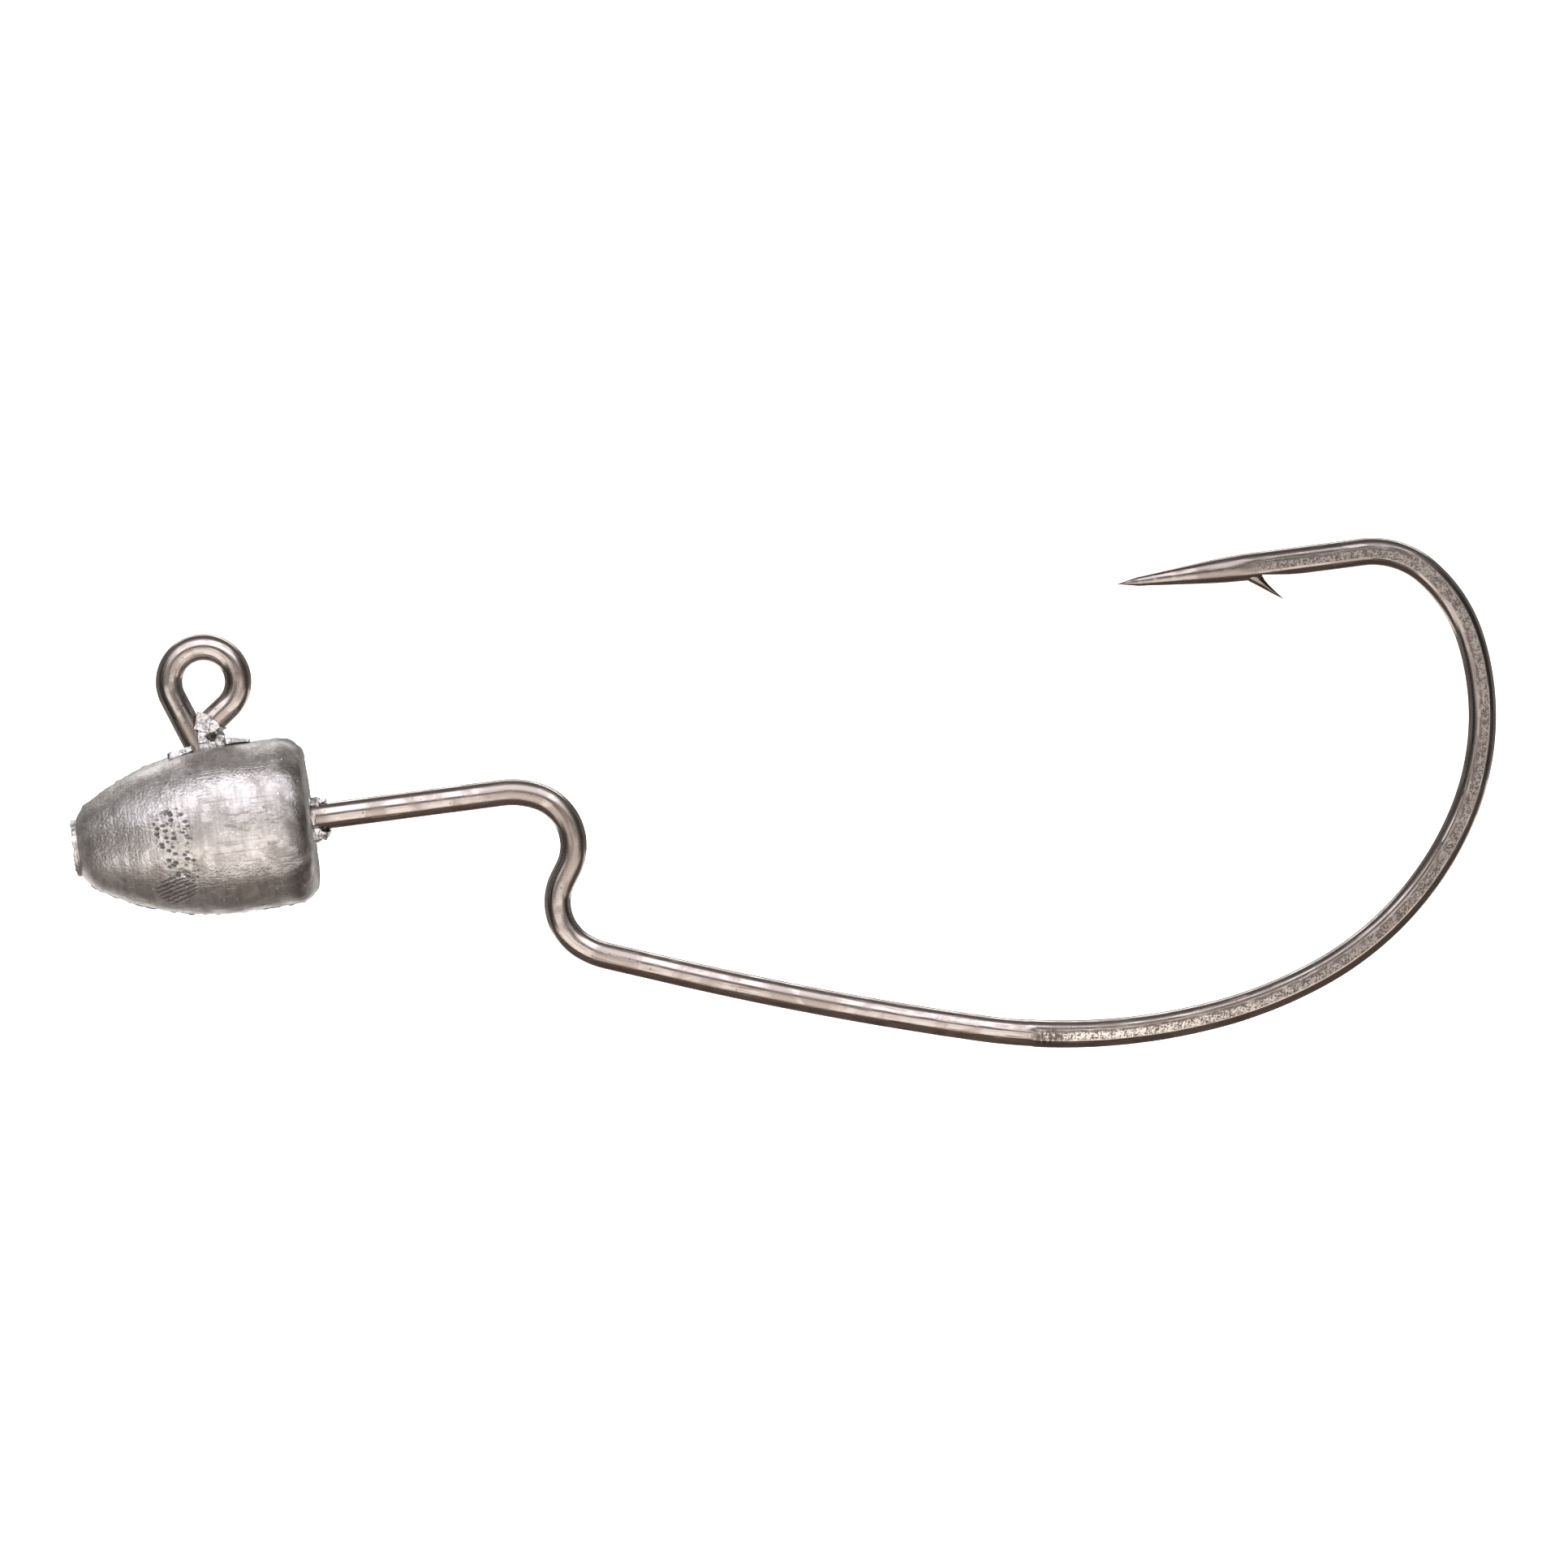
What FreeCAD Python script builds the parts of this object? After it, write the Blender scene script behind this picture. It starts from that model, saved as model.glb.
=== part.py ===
import FreeCAD, Part
import math
import os
import Sketcher

# Jig head: one bent wire hook with a bullet-shaped lead round cast onto it.
#
# Frame, in millimetres: the origin is the centre of the line eye, +X runs along the straight
# shank from the nose of the lead towards the bend, and +Z is up, the side of the eye and the
# point. The wire and the middle of the lead lie in the plane Y = 0.

DIMENSIONS = {
    # wire
    "wire_diameter": 1.40,
    # line eye, a closed loop, and the leg that runs from it down into the lead
    "eye_radius": 1.81,
    "eye_turn": 254.0,
    "eye_gap": 0.12,
    "eye_tail_heading": 36.0,
    "leg_slope_length": 2.60,
    "leg_set_radius": 1.50,
    "hidden_bend_radius": 2.20,
    # straight shank, measured from the line eye
    "shank_drop": 7.80,
    "shank_reach": 14.70,
    # Z-bend: two arcs down, a short straight, two arcs back
    "drop_entry_radius": 4.40,
    "drop_entry_turn": 25.0,
    "drop_radius": 2.70,
    "drop_turn": 99.0,
    "drop_straight": 0.60,
    "heel_radius": 2.70,
    "heel_turn": 84.0,
    "heel_exit_radius": 4.20,
    "heel_exit_turn": 19.5,
    # belly and round bend, from slack to tight
    "belly_straight": 3.50,
    "belly_radius": 188.0,
    "belly_turn": 5.0,
    "keel_radius": 31.5,
    "keel_turn": 23.0,
    "sweep_radius": 23.5,
    "sweep_turn": 14.0,
    "lower_bend_radius": 17.0,
    "lower_bend_turn": 38.0,
    "upper_bend_radius": 13.4,
    "upper_bend_turn": 40.5,
    "shoulder_radius": 7.70,
    "shoulder_turn": 32.0,
    "throat_radius": 4.30,
    # point
    "point_straight": 6.70,
    "taper_length": 5.10,
    "needle_diameter": 0.50,
    "needle_length": 1.10,
    "tip_diameter": 0.06,
    # barb, measured back towards the bend from where the taper starts
    "barb_front": 0.30,
    "barb_notch": 1.32,
    "barb_tip": 2.34,
    "barb_rise": 1.25,
    "barb_width": 0.60,
    "barb_edge": 0.12,
    "scoop_depth": 0.20,
    "scoop_end": 3.05,
    # forged flats on both sides of the bend
    "forge_depth": 0.05,
    "forge_lead": 5.75,
    "forge_tail": 6.40,
    # lead: largest radius at the shoulder, two-arc nose, slight draft to the rear
    "head_diameter": 8.84,
    "head_middle": 0.56,
    "nose_reach": 8.54,
    "nose_radius": 2.90,
    "head_rear": 4.68,
    "rear_draft": 0.12,
    "rear_fillet": 1.20,
    "gate_diameter": 2.90,
    "gate_proud": 0.28,
    # flash that ran up between the leg and the cut end of the eye
    "eye_flash_drop": 0.04,
    "eye_flash_slant": 0.95,
    "eye_flash_foot": 1.40,
    "eye_flash_thickness": 1.10,
    # flash along the shank, in the seam of the mould
    "shank_flash_length": 1.05,
    "shank_flash_proud": 0.40,
    "shank_flash_thickness": 0.30,
}


def add_sheet(doc):
    """The driving dimensions, one row each: name in column A, plain number in column B."""
    sheet = doc.addObject("Spreadsheet::Sheet", "Sizes")
    for row, (name, value) in enumerate(DIMENSIONS.items(), start=1):
        sheet.set(f"A{row}", name)
        sheet.set(f"B{row}", str(value))
        sheet.setAlias(f"B{row}", name)
    doc.recompute()
    return sheet


class Sizes:
    """Reads the driving dimensions from the sheet by name."""

    def __init__(self, sheet):
        self.sheet = sheet

    def __getattr__(self, name):
        return float(self.sheet.get(name))


# ---------------------------------------------------------------- route of the wire


class Route:
    """Centre line of the wire, walked from the cut end in the eye to the start of the point.

    Each run is a straight or an arc, tangent to the run before. A run keeps the names of the
    dimensions that drive it; a run without names is fixed by the runs around it.
    """

    def __init__(self, x, z, heading):
        self.at = FreeCAD.Vector(x, z, 0)
        self.heading = heading
        self.runs = []

    def ahead(self, offset=0.0):
        angle = math.radians(self.heading + offset)
        return FreeCAD.Vector(math.cos(angle), math.sin(angle), 0)

    def straight(self, length, name=None, lies=None):
        end = self.at + self.ahead() * length
        line = Part.LineSegment(self.at, end)
        self.runs.append({"shape": line, "ends": (1, 2), "length": name, "lies": lies})
        self.at = end

    def bend(self, radius, turn, radius_name, turn_name=None):
        """Positive turns go left, towards +Z when heading along +X."""
        side = 1 if turn > 0 else -1
        centre = self.at + self.ahead(90 * side) * radius
        circle = Part.Circle(centre, FreeCAD.Vector(0, 0, 1), radius)
        start = self.heading - 90 * side
        finish = start + turn
        low, high = sorted((math.radians(start), math.radians(finish)))
        self.runs.append({
            "shape": Part.ArcOfCircle(circle, low, high),
            "ends": (1, 2) if turn > 0 else (2, 1),
            "radius": radius_name,
            "turn": turn_name,
            "centre": centre,
        })
        self.heading += turn
        self.at = centre + self.ahead(-90 * side) * radius


def eye_tail_length(size):
    """Straight end of the eye, cut so that its nearest corner stops eye_gap short of the leg."""
    turn = math.radians(size.eye_turn)
    to_leg = size.eye_radius * (1 - math.cos(turn))
    kept = size.wire_diameter / 2 * (1 + abs(math.cos(turn))) + size.eye_gap
    return (to_leg - kept) / abs(math.sin(turn))


def wire_route(size):
    """All the runs of the wire, with the points that later features are set out from."""
    left, right = 1, -1
    eye_start = math.radians(size.eye_tail_heading - 90)
    tail_length = eye_tail_length(size)
    tail = FreeCAD.Vector(math.cos(eye_start), math.sin(eye_start), 0) * size.eye_radius
    tail -= FreeCAD.Vector(-math.sin(eye_start), math.cos(eye_start), 0) * tail_length
    route = Route(tail.x, tail.y, size.eye_tail_heading)
    route.cut_end = tail

    route.straight(tail_length)
    route.bend(size.eye_radius, size.eye_turn * left, "eye_radius", "eye_turn")
    route.leg_top = route.at
    route.straight(size.leg_slope_length, "leg_slope_length")
    route.leg_foot = route.at
    upright = 270 - route.heading
    route.bend(size.leg_set_radius, upright, "leg_set_radius")
    drop = route.at.y + size.shank_drop - size.hidden_bend_radius
    route.straight(drop, lies="Vertical")
    route.bend(size.hidden_bend_radius, 90 * left, "hidden_bend_radius")
    route.heading = 0
    route.straight(size.shank_reach - route.at.x, lies="Horizontal")

    route.bend(size.drop_entry_radius, size.drop_entry_turn * right, "drop_entry_radius", "drop_entry_turn")
    route.bend(size.drop_radius, size.drop_turn * right, "drop_radius", "drop_turn")
    route.straight(size.drop_straight, "drop_straight")
    route.bend(size.heel_radius, size.heel_turn * left, "heel_radius", "heel_turn")
    route.bend(size.heel_exit_radius, size.heel_exit_turn * left, "heel_exit_radius", "heel_exit_turn")
    route.straight(size.belly_straight, "belly_straight")
    for part in ("belly", "keel", "sweep", "lower_bend", "upper_bend", "shoulder"):
        radius_name = f"{part}_radius"
        turn_name = f"{part}_turn"
        radius = getattr(size, radius_name)
        route.bend(radius, getattr(size, turn_name) * left, radius_name, turn_name)
        if part == "keel":
            route.lowest = route.runs[-1]["centre"] - FreeCAD.Vector(0, radius, 0)
        if part == "upper_bend":
            route.furthest = route.runs[-1]["centre"].x + radius
    route.bend(size.throat_radius, 180 - route.heading, "throat_radius")
    route.throat_end = route.at
    route.straight(size.point_straight, "point_straight", lies="Horizontal")
    return route


# ---------------------------------------------------------------- sketch helpers


def origin_plane(body, role):
    """One of the body's own origin planes."""
    for feature in body.Origin.OriginFeatures:
        if feature.Role == role:
            return feature
    raise ValueError(f"{body.Label} has no plane {role}")


def side_sketch(body, name, x=0.0, z=0.0):
    """A sketch on the body's XZ plane, with its own origin at (x, z)."""
    sketch = body.newObject("Sketcher::SketchObject", name)
    sketch.AttachmentSupport = [(origin_plane(body, "XZ_Plane"), "")]
    sketch.MapMode = "FlatFace"
    sketch.AttachmentOffset = FreeCAD.Placement(FreeCAD.Vector(x, z, 0), FreeCAD.Rotation())
    return sketch


def constrain(sketch, kind, *where, value=None, formula=None):
    """Adds a constraint, and binds it to a formula of the sheet's dimensions if one is given."""
    if value is None:
        return sketch.addConstraint(Sketcher.Constraint(kind, *where))
    index = sketch.addConstraint(Sketcher.Constraint(kind, *where, value))
    if formula:
        sketch.setExpression(f"Constraints[{index}]", formula)
    return index


def closed_outline(sketch, corners):
    """A closed outline of straight sides; each corner is (x, x formula, z, z formula)."""
    points = [FreeCAD.Vector(x, z, 0) for x, _, z, _ in corners]
    sides = []
    for start, end in zip(points, points[1:] + points[:1]):
        sides.append(sketch.addGeometry(Part.LineSegment(start, end)))
    for side, following in zip(sides, sides[1:] + sides[:1]):
        constrain(sketch, "Coincident", side, 2, following, 1)
    for side, (x, x_formula, z, z_formula) in zip(sides, corners):
        set_out(sketch, side, 1, x, x_formula, z, z_formula)


def set_out(sketch, edge, end, x, x_formula, z, z_formula):
    """Places one end of an edge from the sketch's origin."""
    if x == 0:
        constrain(sketch, "PointOnObject", edge, end, -2)
    else:
        constrain(sketch, "DistanceX", -1, 1, edge, end, value=x, formula=x_formula)
    if z == 0:
        constrain(sketch, "PointOnObject", edge, end, -1)
    else:
        constrain(sketch, "DistanceY", -1, 1, edge, end, value=z, formula=z_formula)


# ---------------------------------------------------------------- hook


def draw_route(sketch, route):
    """Draws the centre line and ties it to the sheet, run by run."""
    before = None
    for run in route.runs:
        edge = sketch.addGeometry(run["shape"])
        first, last = run["ends"]
        run["edge"] = edge
        if before:
            constrain(sketch, "Tangent", before["edge"], before["ends"][1], edge, first)
        if run.get("length"):
            length = run["shape"].length()
            constrain(sketch, "Distance", edge, value=length, formula=f"Sizes.{run['length']}")
        if run.get("radius"):
            radius = run["shape"].Radius
            constrain(sketch, "Radius", edge, value=radius, formula=f"Sizes.{run['radius']}")
        if run.get("turn"):
            turn = run["shape"].LastParameter - run["shape"].FirstParameter
            constrain(sketch, "Angle", edge, value=turn, formula=f"Sizes.{run['turn']}")
        if run.get("lies"):
            constrain(sketch, run["lies"], edge)
        before = run


def add_wire(body, size, route):
    """The round wire, one sweep along the whole centre line."""
    path = side_sketch(body, "wire_centre_line")
    draw_route(path, route)
    tail, eye, leg = [run["edge"] for run in route.runs[:3]]
    shank = next(run["edge"] for run in route.runs if run.get("lies") == "Horizontal")
    constrain(path, "Coincident", eye, 3, -1, 1)
    constrain(
        path, "Angle", tail, value=math.radians(size.eye_tail_heading), formula="Sizes.eye_tail_heading"
    )
    gap_formula = "Sizes.wire_diameter / 2 * (1 + abs(cos(Sizes.eye_turn * 1 deg))) + Sizes.eye_gap"
    gap = size.wire_diameter / 2 * (1 + abs(math.cos(math.radians(size.eye_turn)))) + size.eye_gap
    constrain(path, "Distance", tail, 1, leg, value=gap, formula=gap_formula)
    constrain(path, "DistanceY", -1, 1, shank, 1, value=-size.shank_drop, formula="-Sizes.shank_drop")
    constrain(path, "DistanceX", -1, 1, shank, 2, value=size.shank_reach, formula="Sizes.shank_reach")

    section = body.newObject("Sketcher::SketchObject", "wire_section")
    section.AttachmentSupport = [(path, "Edge1")]
    section.MapMode = "NormalToEdge"
    section.MapPathParameter = 0.0
    ring = section.addGeometry(Part.Circle(FreeCAD.Vector(), FreeCAD.Vector(0, 0, 1), size.wire_diameter / 2))
    constrain(section, "Coincident", ring, 3, -1, 1)
    constrain(section, "Diameter", ring, value=size.wire_diameter, formula="Sizes.wire_diameter")

    wire = body.newObject("PartDesign::AdditivePipe", "wire")
    wire.Profile = section
    wire.Spine = (path, [])
    body.Document.recompute()


def add_point(body, size, route):
    """The ground point: a long cone down to a needle, then the short needle tip."""
    radius = size.wire_diameter / 2
    needle = size.needle_diameter / 2
    tip = size.tip_diameter / 2
    reach = size.taper_length + size.needle_length
    sketch = side_sketch(body, "point_profile", route.at.x, route.at.y)
    closed_outline(sketch, [
        (0, None, 0, None),
        (0, None, radius, "Sizes.wire_diameter / 2"),
        (-size.taper_length, "-Sizes.taper_length", needle, "Sizes.needle_diameter / 2"),
        (-reach, "-Sizes.taper_length - Sizes.needle_length", tip, "Sizes.tip_diameter / 2"),
        (-reach, "-Sizes.taper_length - Sizes.needle_length", 0, None),
    ])
    point = body.newObject("PartDesign::Revolution", "point")
    point.Profile = sketch
    point.ReferenceAxis = (sketch, ["H_Axis"])
    point.Angle = 360
    body.Document.recompute()


def add_scoop(body, size, route):
    """The shallow scoop behind the barb, where its steel was cut from."""
    under = -size.wire_diameter / 2
    under_formula = "-Sizes.wire_diameter / 2"
    notch_formula = under_formula + " + Sizes.scoop_depth"
    below_formula = under_formula + " - Sizes.scoop_depth"
    sketch = side_sketch(body, "scoop_profile", route.at.x, route.at.y)
    closed_outline(sketch, [
        (size.barb_notch, "Sizes.barb_notch", under + size.scoop_depth, notch_formula),
        (size.scoop_end, "Sizes.scoop_end", under, under_formula),
        (size.scoop_end, "Sizes.scoop_end", under - size.scoop_depth, below_formula),
        (size.barb_notch, "Sizes.barb_notch", under - size.scoop_depth, below_formula),
    ])
    scoop = body.newObject("PartDesign::Pocket", "scoop")
    scoop.Profile = sketch
    scoop.SideType = "Symmetric"
    scoop.setExpression("Length", "Sizes.wire_diameter * 2")
    body.Document.recompute()


def add_barb(body, size, route):
    """The barb, a thin blade raised from the inner side of the point, leaning to the bend."""
    under = -size.wire_diameter / 2
    under_formula = "-Sizes.wire_diameter / 2"
    root_formula = under_formula + " + Sizes.scoop_depth"
    tip_formula = under_formula + " - Sizes.barb_rise"
    sketch = side_sketch(body, "barb_profile", route.at.x, route.at.y)
    closed_outline(sketch, [
        (size.barb_front, "Sizes.barb_front", under + size.scoop_depth, root_formula),
        (size.barb_notch, "Sizes.barb_notch", under + size.scoop_depth, root_formula),
        (size.barb_tip, "Sizes.barb_tip", under - size.barb_rise, tip_formula),
        (
            size.barb_tip - size.barb_edge, "Sizes.barb_tip - Sizes.barb_edge",
            under - size.barb_rise, tip_formula,
        ),
        (size.barb_front, "Sizes.barb_front", under, under_formula),
    ])
    barb = body.newObject("PartDesign::Pad", "barb")
    barb.Profile = sketch
    barb.SideType = "Symmetric"
    barb.setExpression("Length", "Sizes.barb_width")
    body.Document.recompute()


def add_forged_flats(body, size, route):
    """Narrow flats pressed on both sides of the bend, from the lowest point round to the barb."""
    clear = size.wire_diameter * 2
    left = route.lowest.x - size.forge_lead
    right = route.furthest + clear
    bottom = route.lowest.y - clear
    top = route.at.y + clear
    inside = route.at.y - clear
    end = route.throat_end.x - size.forge_tail
    for name, side in (("near", 1), ("far", -1)):
        sketch = side_sketch(body, f"{name}_flat_outline")
        depth_formula = f"{side} * (Sizes.wire_diameter / 2 - Sizes.forge_depth)"
        sketch.setExpression("AttachmentOffset.Base.z", depth_formula)
        closed_outline(sketch, [
            (left, None, bottom, None),
            (right, None, bottom, None),
            (right, None, top, None),
            (end, None, top, None),
            (end, None, inside, None),
            (left, None, inside, None),
        ])
        flat = body.newObject("PartDesign::Pocket", f"{name}_forged_flat")
        flat.Profile = sketch
        flat.Reversed = side == 1
        flat.setExpression("Length", "Sizes.wire_diameter")
        body.Document.recompute()


def make_hook(doc, size):
    """One wire: eye, leg, hidden bend, shank, Z-bend, belly, bend, point and barb."""
    body = doc.addObject("PartDesign::Body", "HookBody")
    body.Label = "hook"
    route = wire_route(size)
    add_wire(body, size, route)
    add_point(body, size, route)
    add_scoop(body, size, route)
    add_barb(body, size, route)
    add_forged_flats(body, size, route)
    return body, route


# ---------------------------------------------------------------- lead


def head_sketch(body, name):
    """A side sketch whose X axis is the shank's axis."""
    sketch = side_sketch(body, name)
    sketch.setExpression("AttachmentOffset.Base.y", "-Sizes.shank_drop")
    body.Document.recompute()
    return sketch


def flank_radius(size):
    """The arc that joins the round nose to the widest circle of the lead, tangent to both."""
    reach = size.nose_reach - size.nose_radius
    half = size.head_diameter / 2
    return (reach ** 2 + half ** 2 - size.nose_radius ** 2) / (2 * (half - size.nose_radius))


def add_bullet(body, size):
    """The bullet shape, turned about the shank, with the cut stub of the pouring gate."""
    half = size.head_diameter / 2
    gate = size.gate_diameter / 2
    flank = flank_radius(size)
    nose_centre = size.head_middle - size.nose_reach + size.nose_radius
    gate_angle = math.pi - math.asin(gate / size.nose_radius)
    lean = math.atan2(flank - half, size.nose_reach - size.nose_radius)
    joint_angle = math.pi - lean
    shoulder_x = nose_centre + size.nose_radius * math.cos(gate_angle)
    gate_face = shoulder_x - size.gate_proud

    axis = FreeCAD.Vector(0, 0, 1)
    nose_circle = Part.Circle(FreeCAD.Vector(nose_centre, 0, 0), axis, size.nose_radius)
    flank_circle = Part.Circle(FreeCAD.Vector(size.head_middle, half - flank, 0), axis, flank)
    sketch = head_sketch(body, "bullet_profile")
    nose = sketch.addGeometry(Part.ArcOfCircle(nose_circle, joint_angle, gate_angle))
    side = sketch.addGeometry(Part.ArcOfCircle(flank_circle, math.pi / 2, joint_angle))
    corners = [
        FreeCAD.Vector(size.head_middle, half, 0),
        FreeCAD.Vector(size.head_rear, half - size.rear_draft, 0),
        FreeCAD.Vector(size.head_rear, 0, 0),
        FreeCAD.Vector(gate_face, 0, 0),
        FreeCAD.Vector(gate_face, gate, 0),
        FreeCAD.Vector(shoulder_x, gate, 0),
    ]
    lines = []
    for start, end in zip(corners, corners[1:]):
        lines.append(sketch.addGeometry(Part.LineSegment(start, end)))
    draft, rear, middle, face, stub = lines

    constrain(sketch, "Tangent", nose, 1, side, 2)
    constrain(sketch, "Coincident", side, 1, draft, 1)
    for line, following in zip(lines, lines[1:]):
        constrain(sketch, "Coincident", line, 2, following, 1)
    constrain(sketch, "Coincident", stub, 2, nose, 2)

    constrain(sketch, "PointOnObject", nose, 3, -1)
    constrain(sketch, "Radius", nose, value=size.nose_radius, formula="Sizes.nose_radius")
    constrain(
        sketch, "DistanceX", nose, 3, draft, 1, value=size.nose_reach - size.nose_radius,
        formula="Sizes.nose_reach - Sizes.nose_radius",
    )
    constrain(sketch, "Vertical", side, 3, side, 1)
    set_out(sketch, draft, 1, size.head_middle, "Sizes.head_middle", half, "Sizes.head_diameter / 2")
    set_out(
        sketch, draft, 2, size.head_rear, "Sizes.head_rear",
        half - size.rear_draft, "Sizes.head_diameter / 2 - Sizes.rear_draft",
    )
    constrain(sketch, "Vertical", rear)
    constrain(sketch, "PointOnObject", middle, 1, -1)
    constrain(sketch, "PointOnObject", middle, 2, -1)
    constrain(sketch, "Vertical", face)
    constrain(sketch, "Horizontal", stub)
    constrain(sketch, "Distance", face, value=gate, formula="Sizes.gate_diameter / 2")
    constrain(sketch, "Distance", stub, value=size.gate_proud, formula="Sizes.gate_proud")

    bullet = body.newObject("PartDesign::Revolution", "bullet")
    bullet.Profile = sketch
    bullet.ReferenceAxis = (sketch, ["H_Axis"])
    bullet.Angle = 360
    body.Document.recompute()
    return bullet


def round_rear_edge(body, size, bullet):
    """Rounds the edge between the side of the lead and its rear face."""
    for number, edge in enumerate(bullet.Shape.Edges, start=1):
        at_rear = abs(edge.BoundBox.XMin - size.head_rear) < 1e-4 and edge.BoundBox.XLength < 1e-4
        if at_rear and edge.Length > math.pi * size.wire_diameter:
            rear_edge = f"Edge{number}"
    fillet = body.newObject("PartDesign::Fillet", "rear_round")
    fillet.Base = (bullet, [rear_edge])
    fillet.setExpression("Radius", "Sizes.rear_fillet")
    body.Document.recompute()


def add_eye_flash(body, size, route):
    """Lead that ran up between the leg and the cut end of the eye, flatter than the wire."""
    top = size.shank_drop - size.eye_radius - size.eye_flash_drop
    top_formula = "Sizes.shank_drop - Sizes.eye_radius - Sizes.eye_flash_drop"
    foot = size.head_diameter / 2 - size.wire_diameter / 2
    foot_formula = "Sizes.head_diameter / 2 - Sizes.wire_diameter / 2"
    slope = (route.leg_foot.x - route.leg_top.x) / (route.leg_top.y - route.leg_foot.y)
    leg_x = route.leg_foot.x - slope * (top - size.shank_drop - route.leg_foot.y)
    right = route.leg_foot.x + size.eye_flash_foot
    sketch = head_sketch(body, "eye_flash_outline")
    closed_outline(sketch, [
        (leg_x, None, top, top_formula),
        (route.cut_end.x, None, top, top_formula),
        (right, None, top - size.eye_flash_slant, top_formula + " - Sizes.eye_flash_slant"),
        (right, None, foot, foot_formula),
        (route.leg_foot.x, None, foot, foot_formula),
    ])
    flash = body.newObject("PartDesign::Pad", "eye_flash")
    flash.Profile = sketch
    flash.SideType = "Symmetric"
    flash.setExpression("Length", "Sizes.eye_flash_thickness")
    body.Document.recompute()


def add_shank_flash(body, size):
    """Thin fins of lead above and below the shank, in the seam of the mould."""
    half = size.wire_diameter / 2 + size.shank_flash_proud
    formula = "Sizes.wire_diameter / 2 + Sizes.shank_flash_proud"
    start = size.head_rear - size.wire_diameter / 2
    start_formula = "Sizes.head_rear - Sizes.wire_diameter / 2"
    end = size.head_rear + size.shank_flash_length
    end_formula = "Sizes.head_rear + Sizes.shank_flash_length"
    sketch = head_sketch(body, "shank_flash_outline")
    closed_outline(sketch, [
        (start, start_formula, -half, f"-({formula})"),
        (end, end_formula, -half, f"-({formula})"),
        (end, end_formula, half, formula),
        (start, start_formula, half, formula),
    ])
    flash = body.newObject("PartDesign::Pad", "shank_flash")
    flash.Profile = sketch
    flash.SideType = "Symmetric"
    flash.setExpression("Length", "Sizes.shank_flash_thickness")
    body.Document.recompute()


def make_lead_head(doc, size, hook, route):
    """The lead, with the hook's own shape left out of it, as it is when cast on."""
    casting = doc.addObject("PartDesign::Body", "CastingBody")
    casting.Label = "casting_before_hook"
    bullet = add_bullet(casting, size)
    round_rear_edge(casting, size, bullet)
    add_eye_flash(casting, size, route)
    add_shank_flash(casting, size)
    head = doc.addObject("Part::Cut", "LeadHead")
    head.Label = "lead_head"
    head.Base = casting
    head.Tool = hook
    doc.recompute()
    return head


# ---------------------------------------------------------------- document


def check(doc, parts):
    """Stops before anything is written if a feature failed or a part isn't one good solid."""
    for item in doc.Objects:
        if "Invalid" in item.State or "Error" in item.State:
            raise RuntimeError(f"{item.Name} did not compute: {item.State}")
        if item.TypeId == "Sketcher::SketchObject" and not item.FullyConstrained:
            raise RuntimeError(f"{item.Name} is not fully constrained")
    for part in parts:
        shape = part.Shape
        if shape.isNull() or not shape.isValid() or len(shape.Solids) != 1:
            raise RuntimeError(f"{part.Label} is not one valid solid")
        box = shape.optimalBoundingBox(False)
        print(f"{part.Label}: {shape.Volume:.2f} mm3, X {box.XMin:.2f} to {box.XMax:.2f},")
        print(f"    Y {box.YMin:.2f} to {box.YMax:.2f}, Z {box.ZMin:.2f} to {box.ZMax:.2f}")


def main():
    doc = FreeCAD.newDocument("JigHead")
    size = Sizes(add_sheet(doc))
    hook, route = make_hook(doc, size)
    head = make_lead_head(doc, size, hook, route)
    parts = [hook, head]
    doc.recompute()
    check(doc, parts)
    os.makedirs("parts", exist_ok=True)
    for part in parts:
        part.Shape.exportStep(f"parts/{part.Label}.step")


main()
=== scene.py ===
# %% [markdown]
# # A lead-head fishing jig
#
# The real thing is two pieces: one steel wire, bent into an eye, a shank and a wide hook, and a round
# of lead cast onto it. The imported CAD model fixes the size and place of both. Here each gets its real
# surface: the wire is carried along its route again, smooth and with its forged flats, and the lead
# gets its pits, seam and flash. Everything is in metres, in the CAD frame: the origin is the centre of
# the line eye, +X runs along the shank to the bend, +Z is up.

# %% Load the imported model
import math
import random
import bpy
import numpy as np
from mathutils import Euler, Matrix, Vector


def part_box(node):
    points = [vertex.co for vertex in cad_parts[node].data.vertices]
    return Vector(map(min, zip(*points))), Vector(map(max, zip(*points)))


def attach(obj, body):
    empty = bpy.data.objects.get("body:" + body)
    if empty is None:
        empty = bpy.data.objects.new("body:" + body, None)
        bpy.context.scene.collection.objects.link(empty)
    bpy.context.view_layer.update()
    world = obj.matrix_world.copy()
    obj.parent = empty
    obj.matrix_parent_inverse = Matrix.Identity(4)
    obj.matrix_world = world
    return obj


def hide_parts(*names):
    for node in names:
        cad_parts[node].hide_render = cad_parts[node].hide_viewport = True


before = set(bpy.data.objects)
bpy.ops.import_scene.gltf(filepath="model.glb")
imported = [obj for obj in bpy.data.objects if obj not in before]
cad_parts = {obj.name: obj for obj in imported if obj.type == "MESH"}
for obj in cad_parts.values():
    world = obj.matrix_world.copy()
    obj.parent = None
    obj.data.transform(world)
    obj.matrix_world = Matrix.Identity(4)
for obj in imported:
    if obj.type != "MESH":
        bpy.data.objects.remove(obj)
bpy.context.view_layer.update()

HOOK_LOW, HOOK_HIGH = [Vector(corner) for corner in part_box("hook")]
LEAD_LOW, LEAD_HIGH = [Vector(corner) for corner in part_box("lead_head")]
print("hook box", HOOK_LOW, HOOK_HIGH)
print("lead box", LEAD_LOW, LEAD_HIGH)

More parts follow.
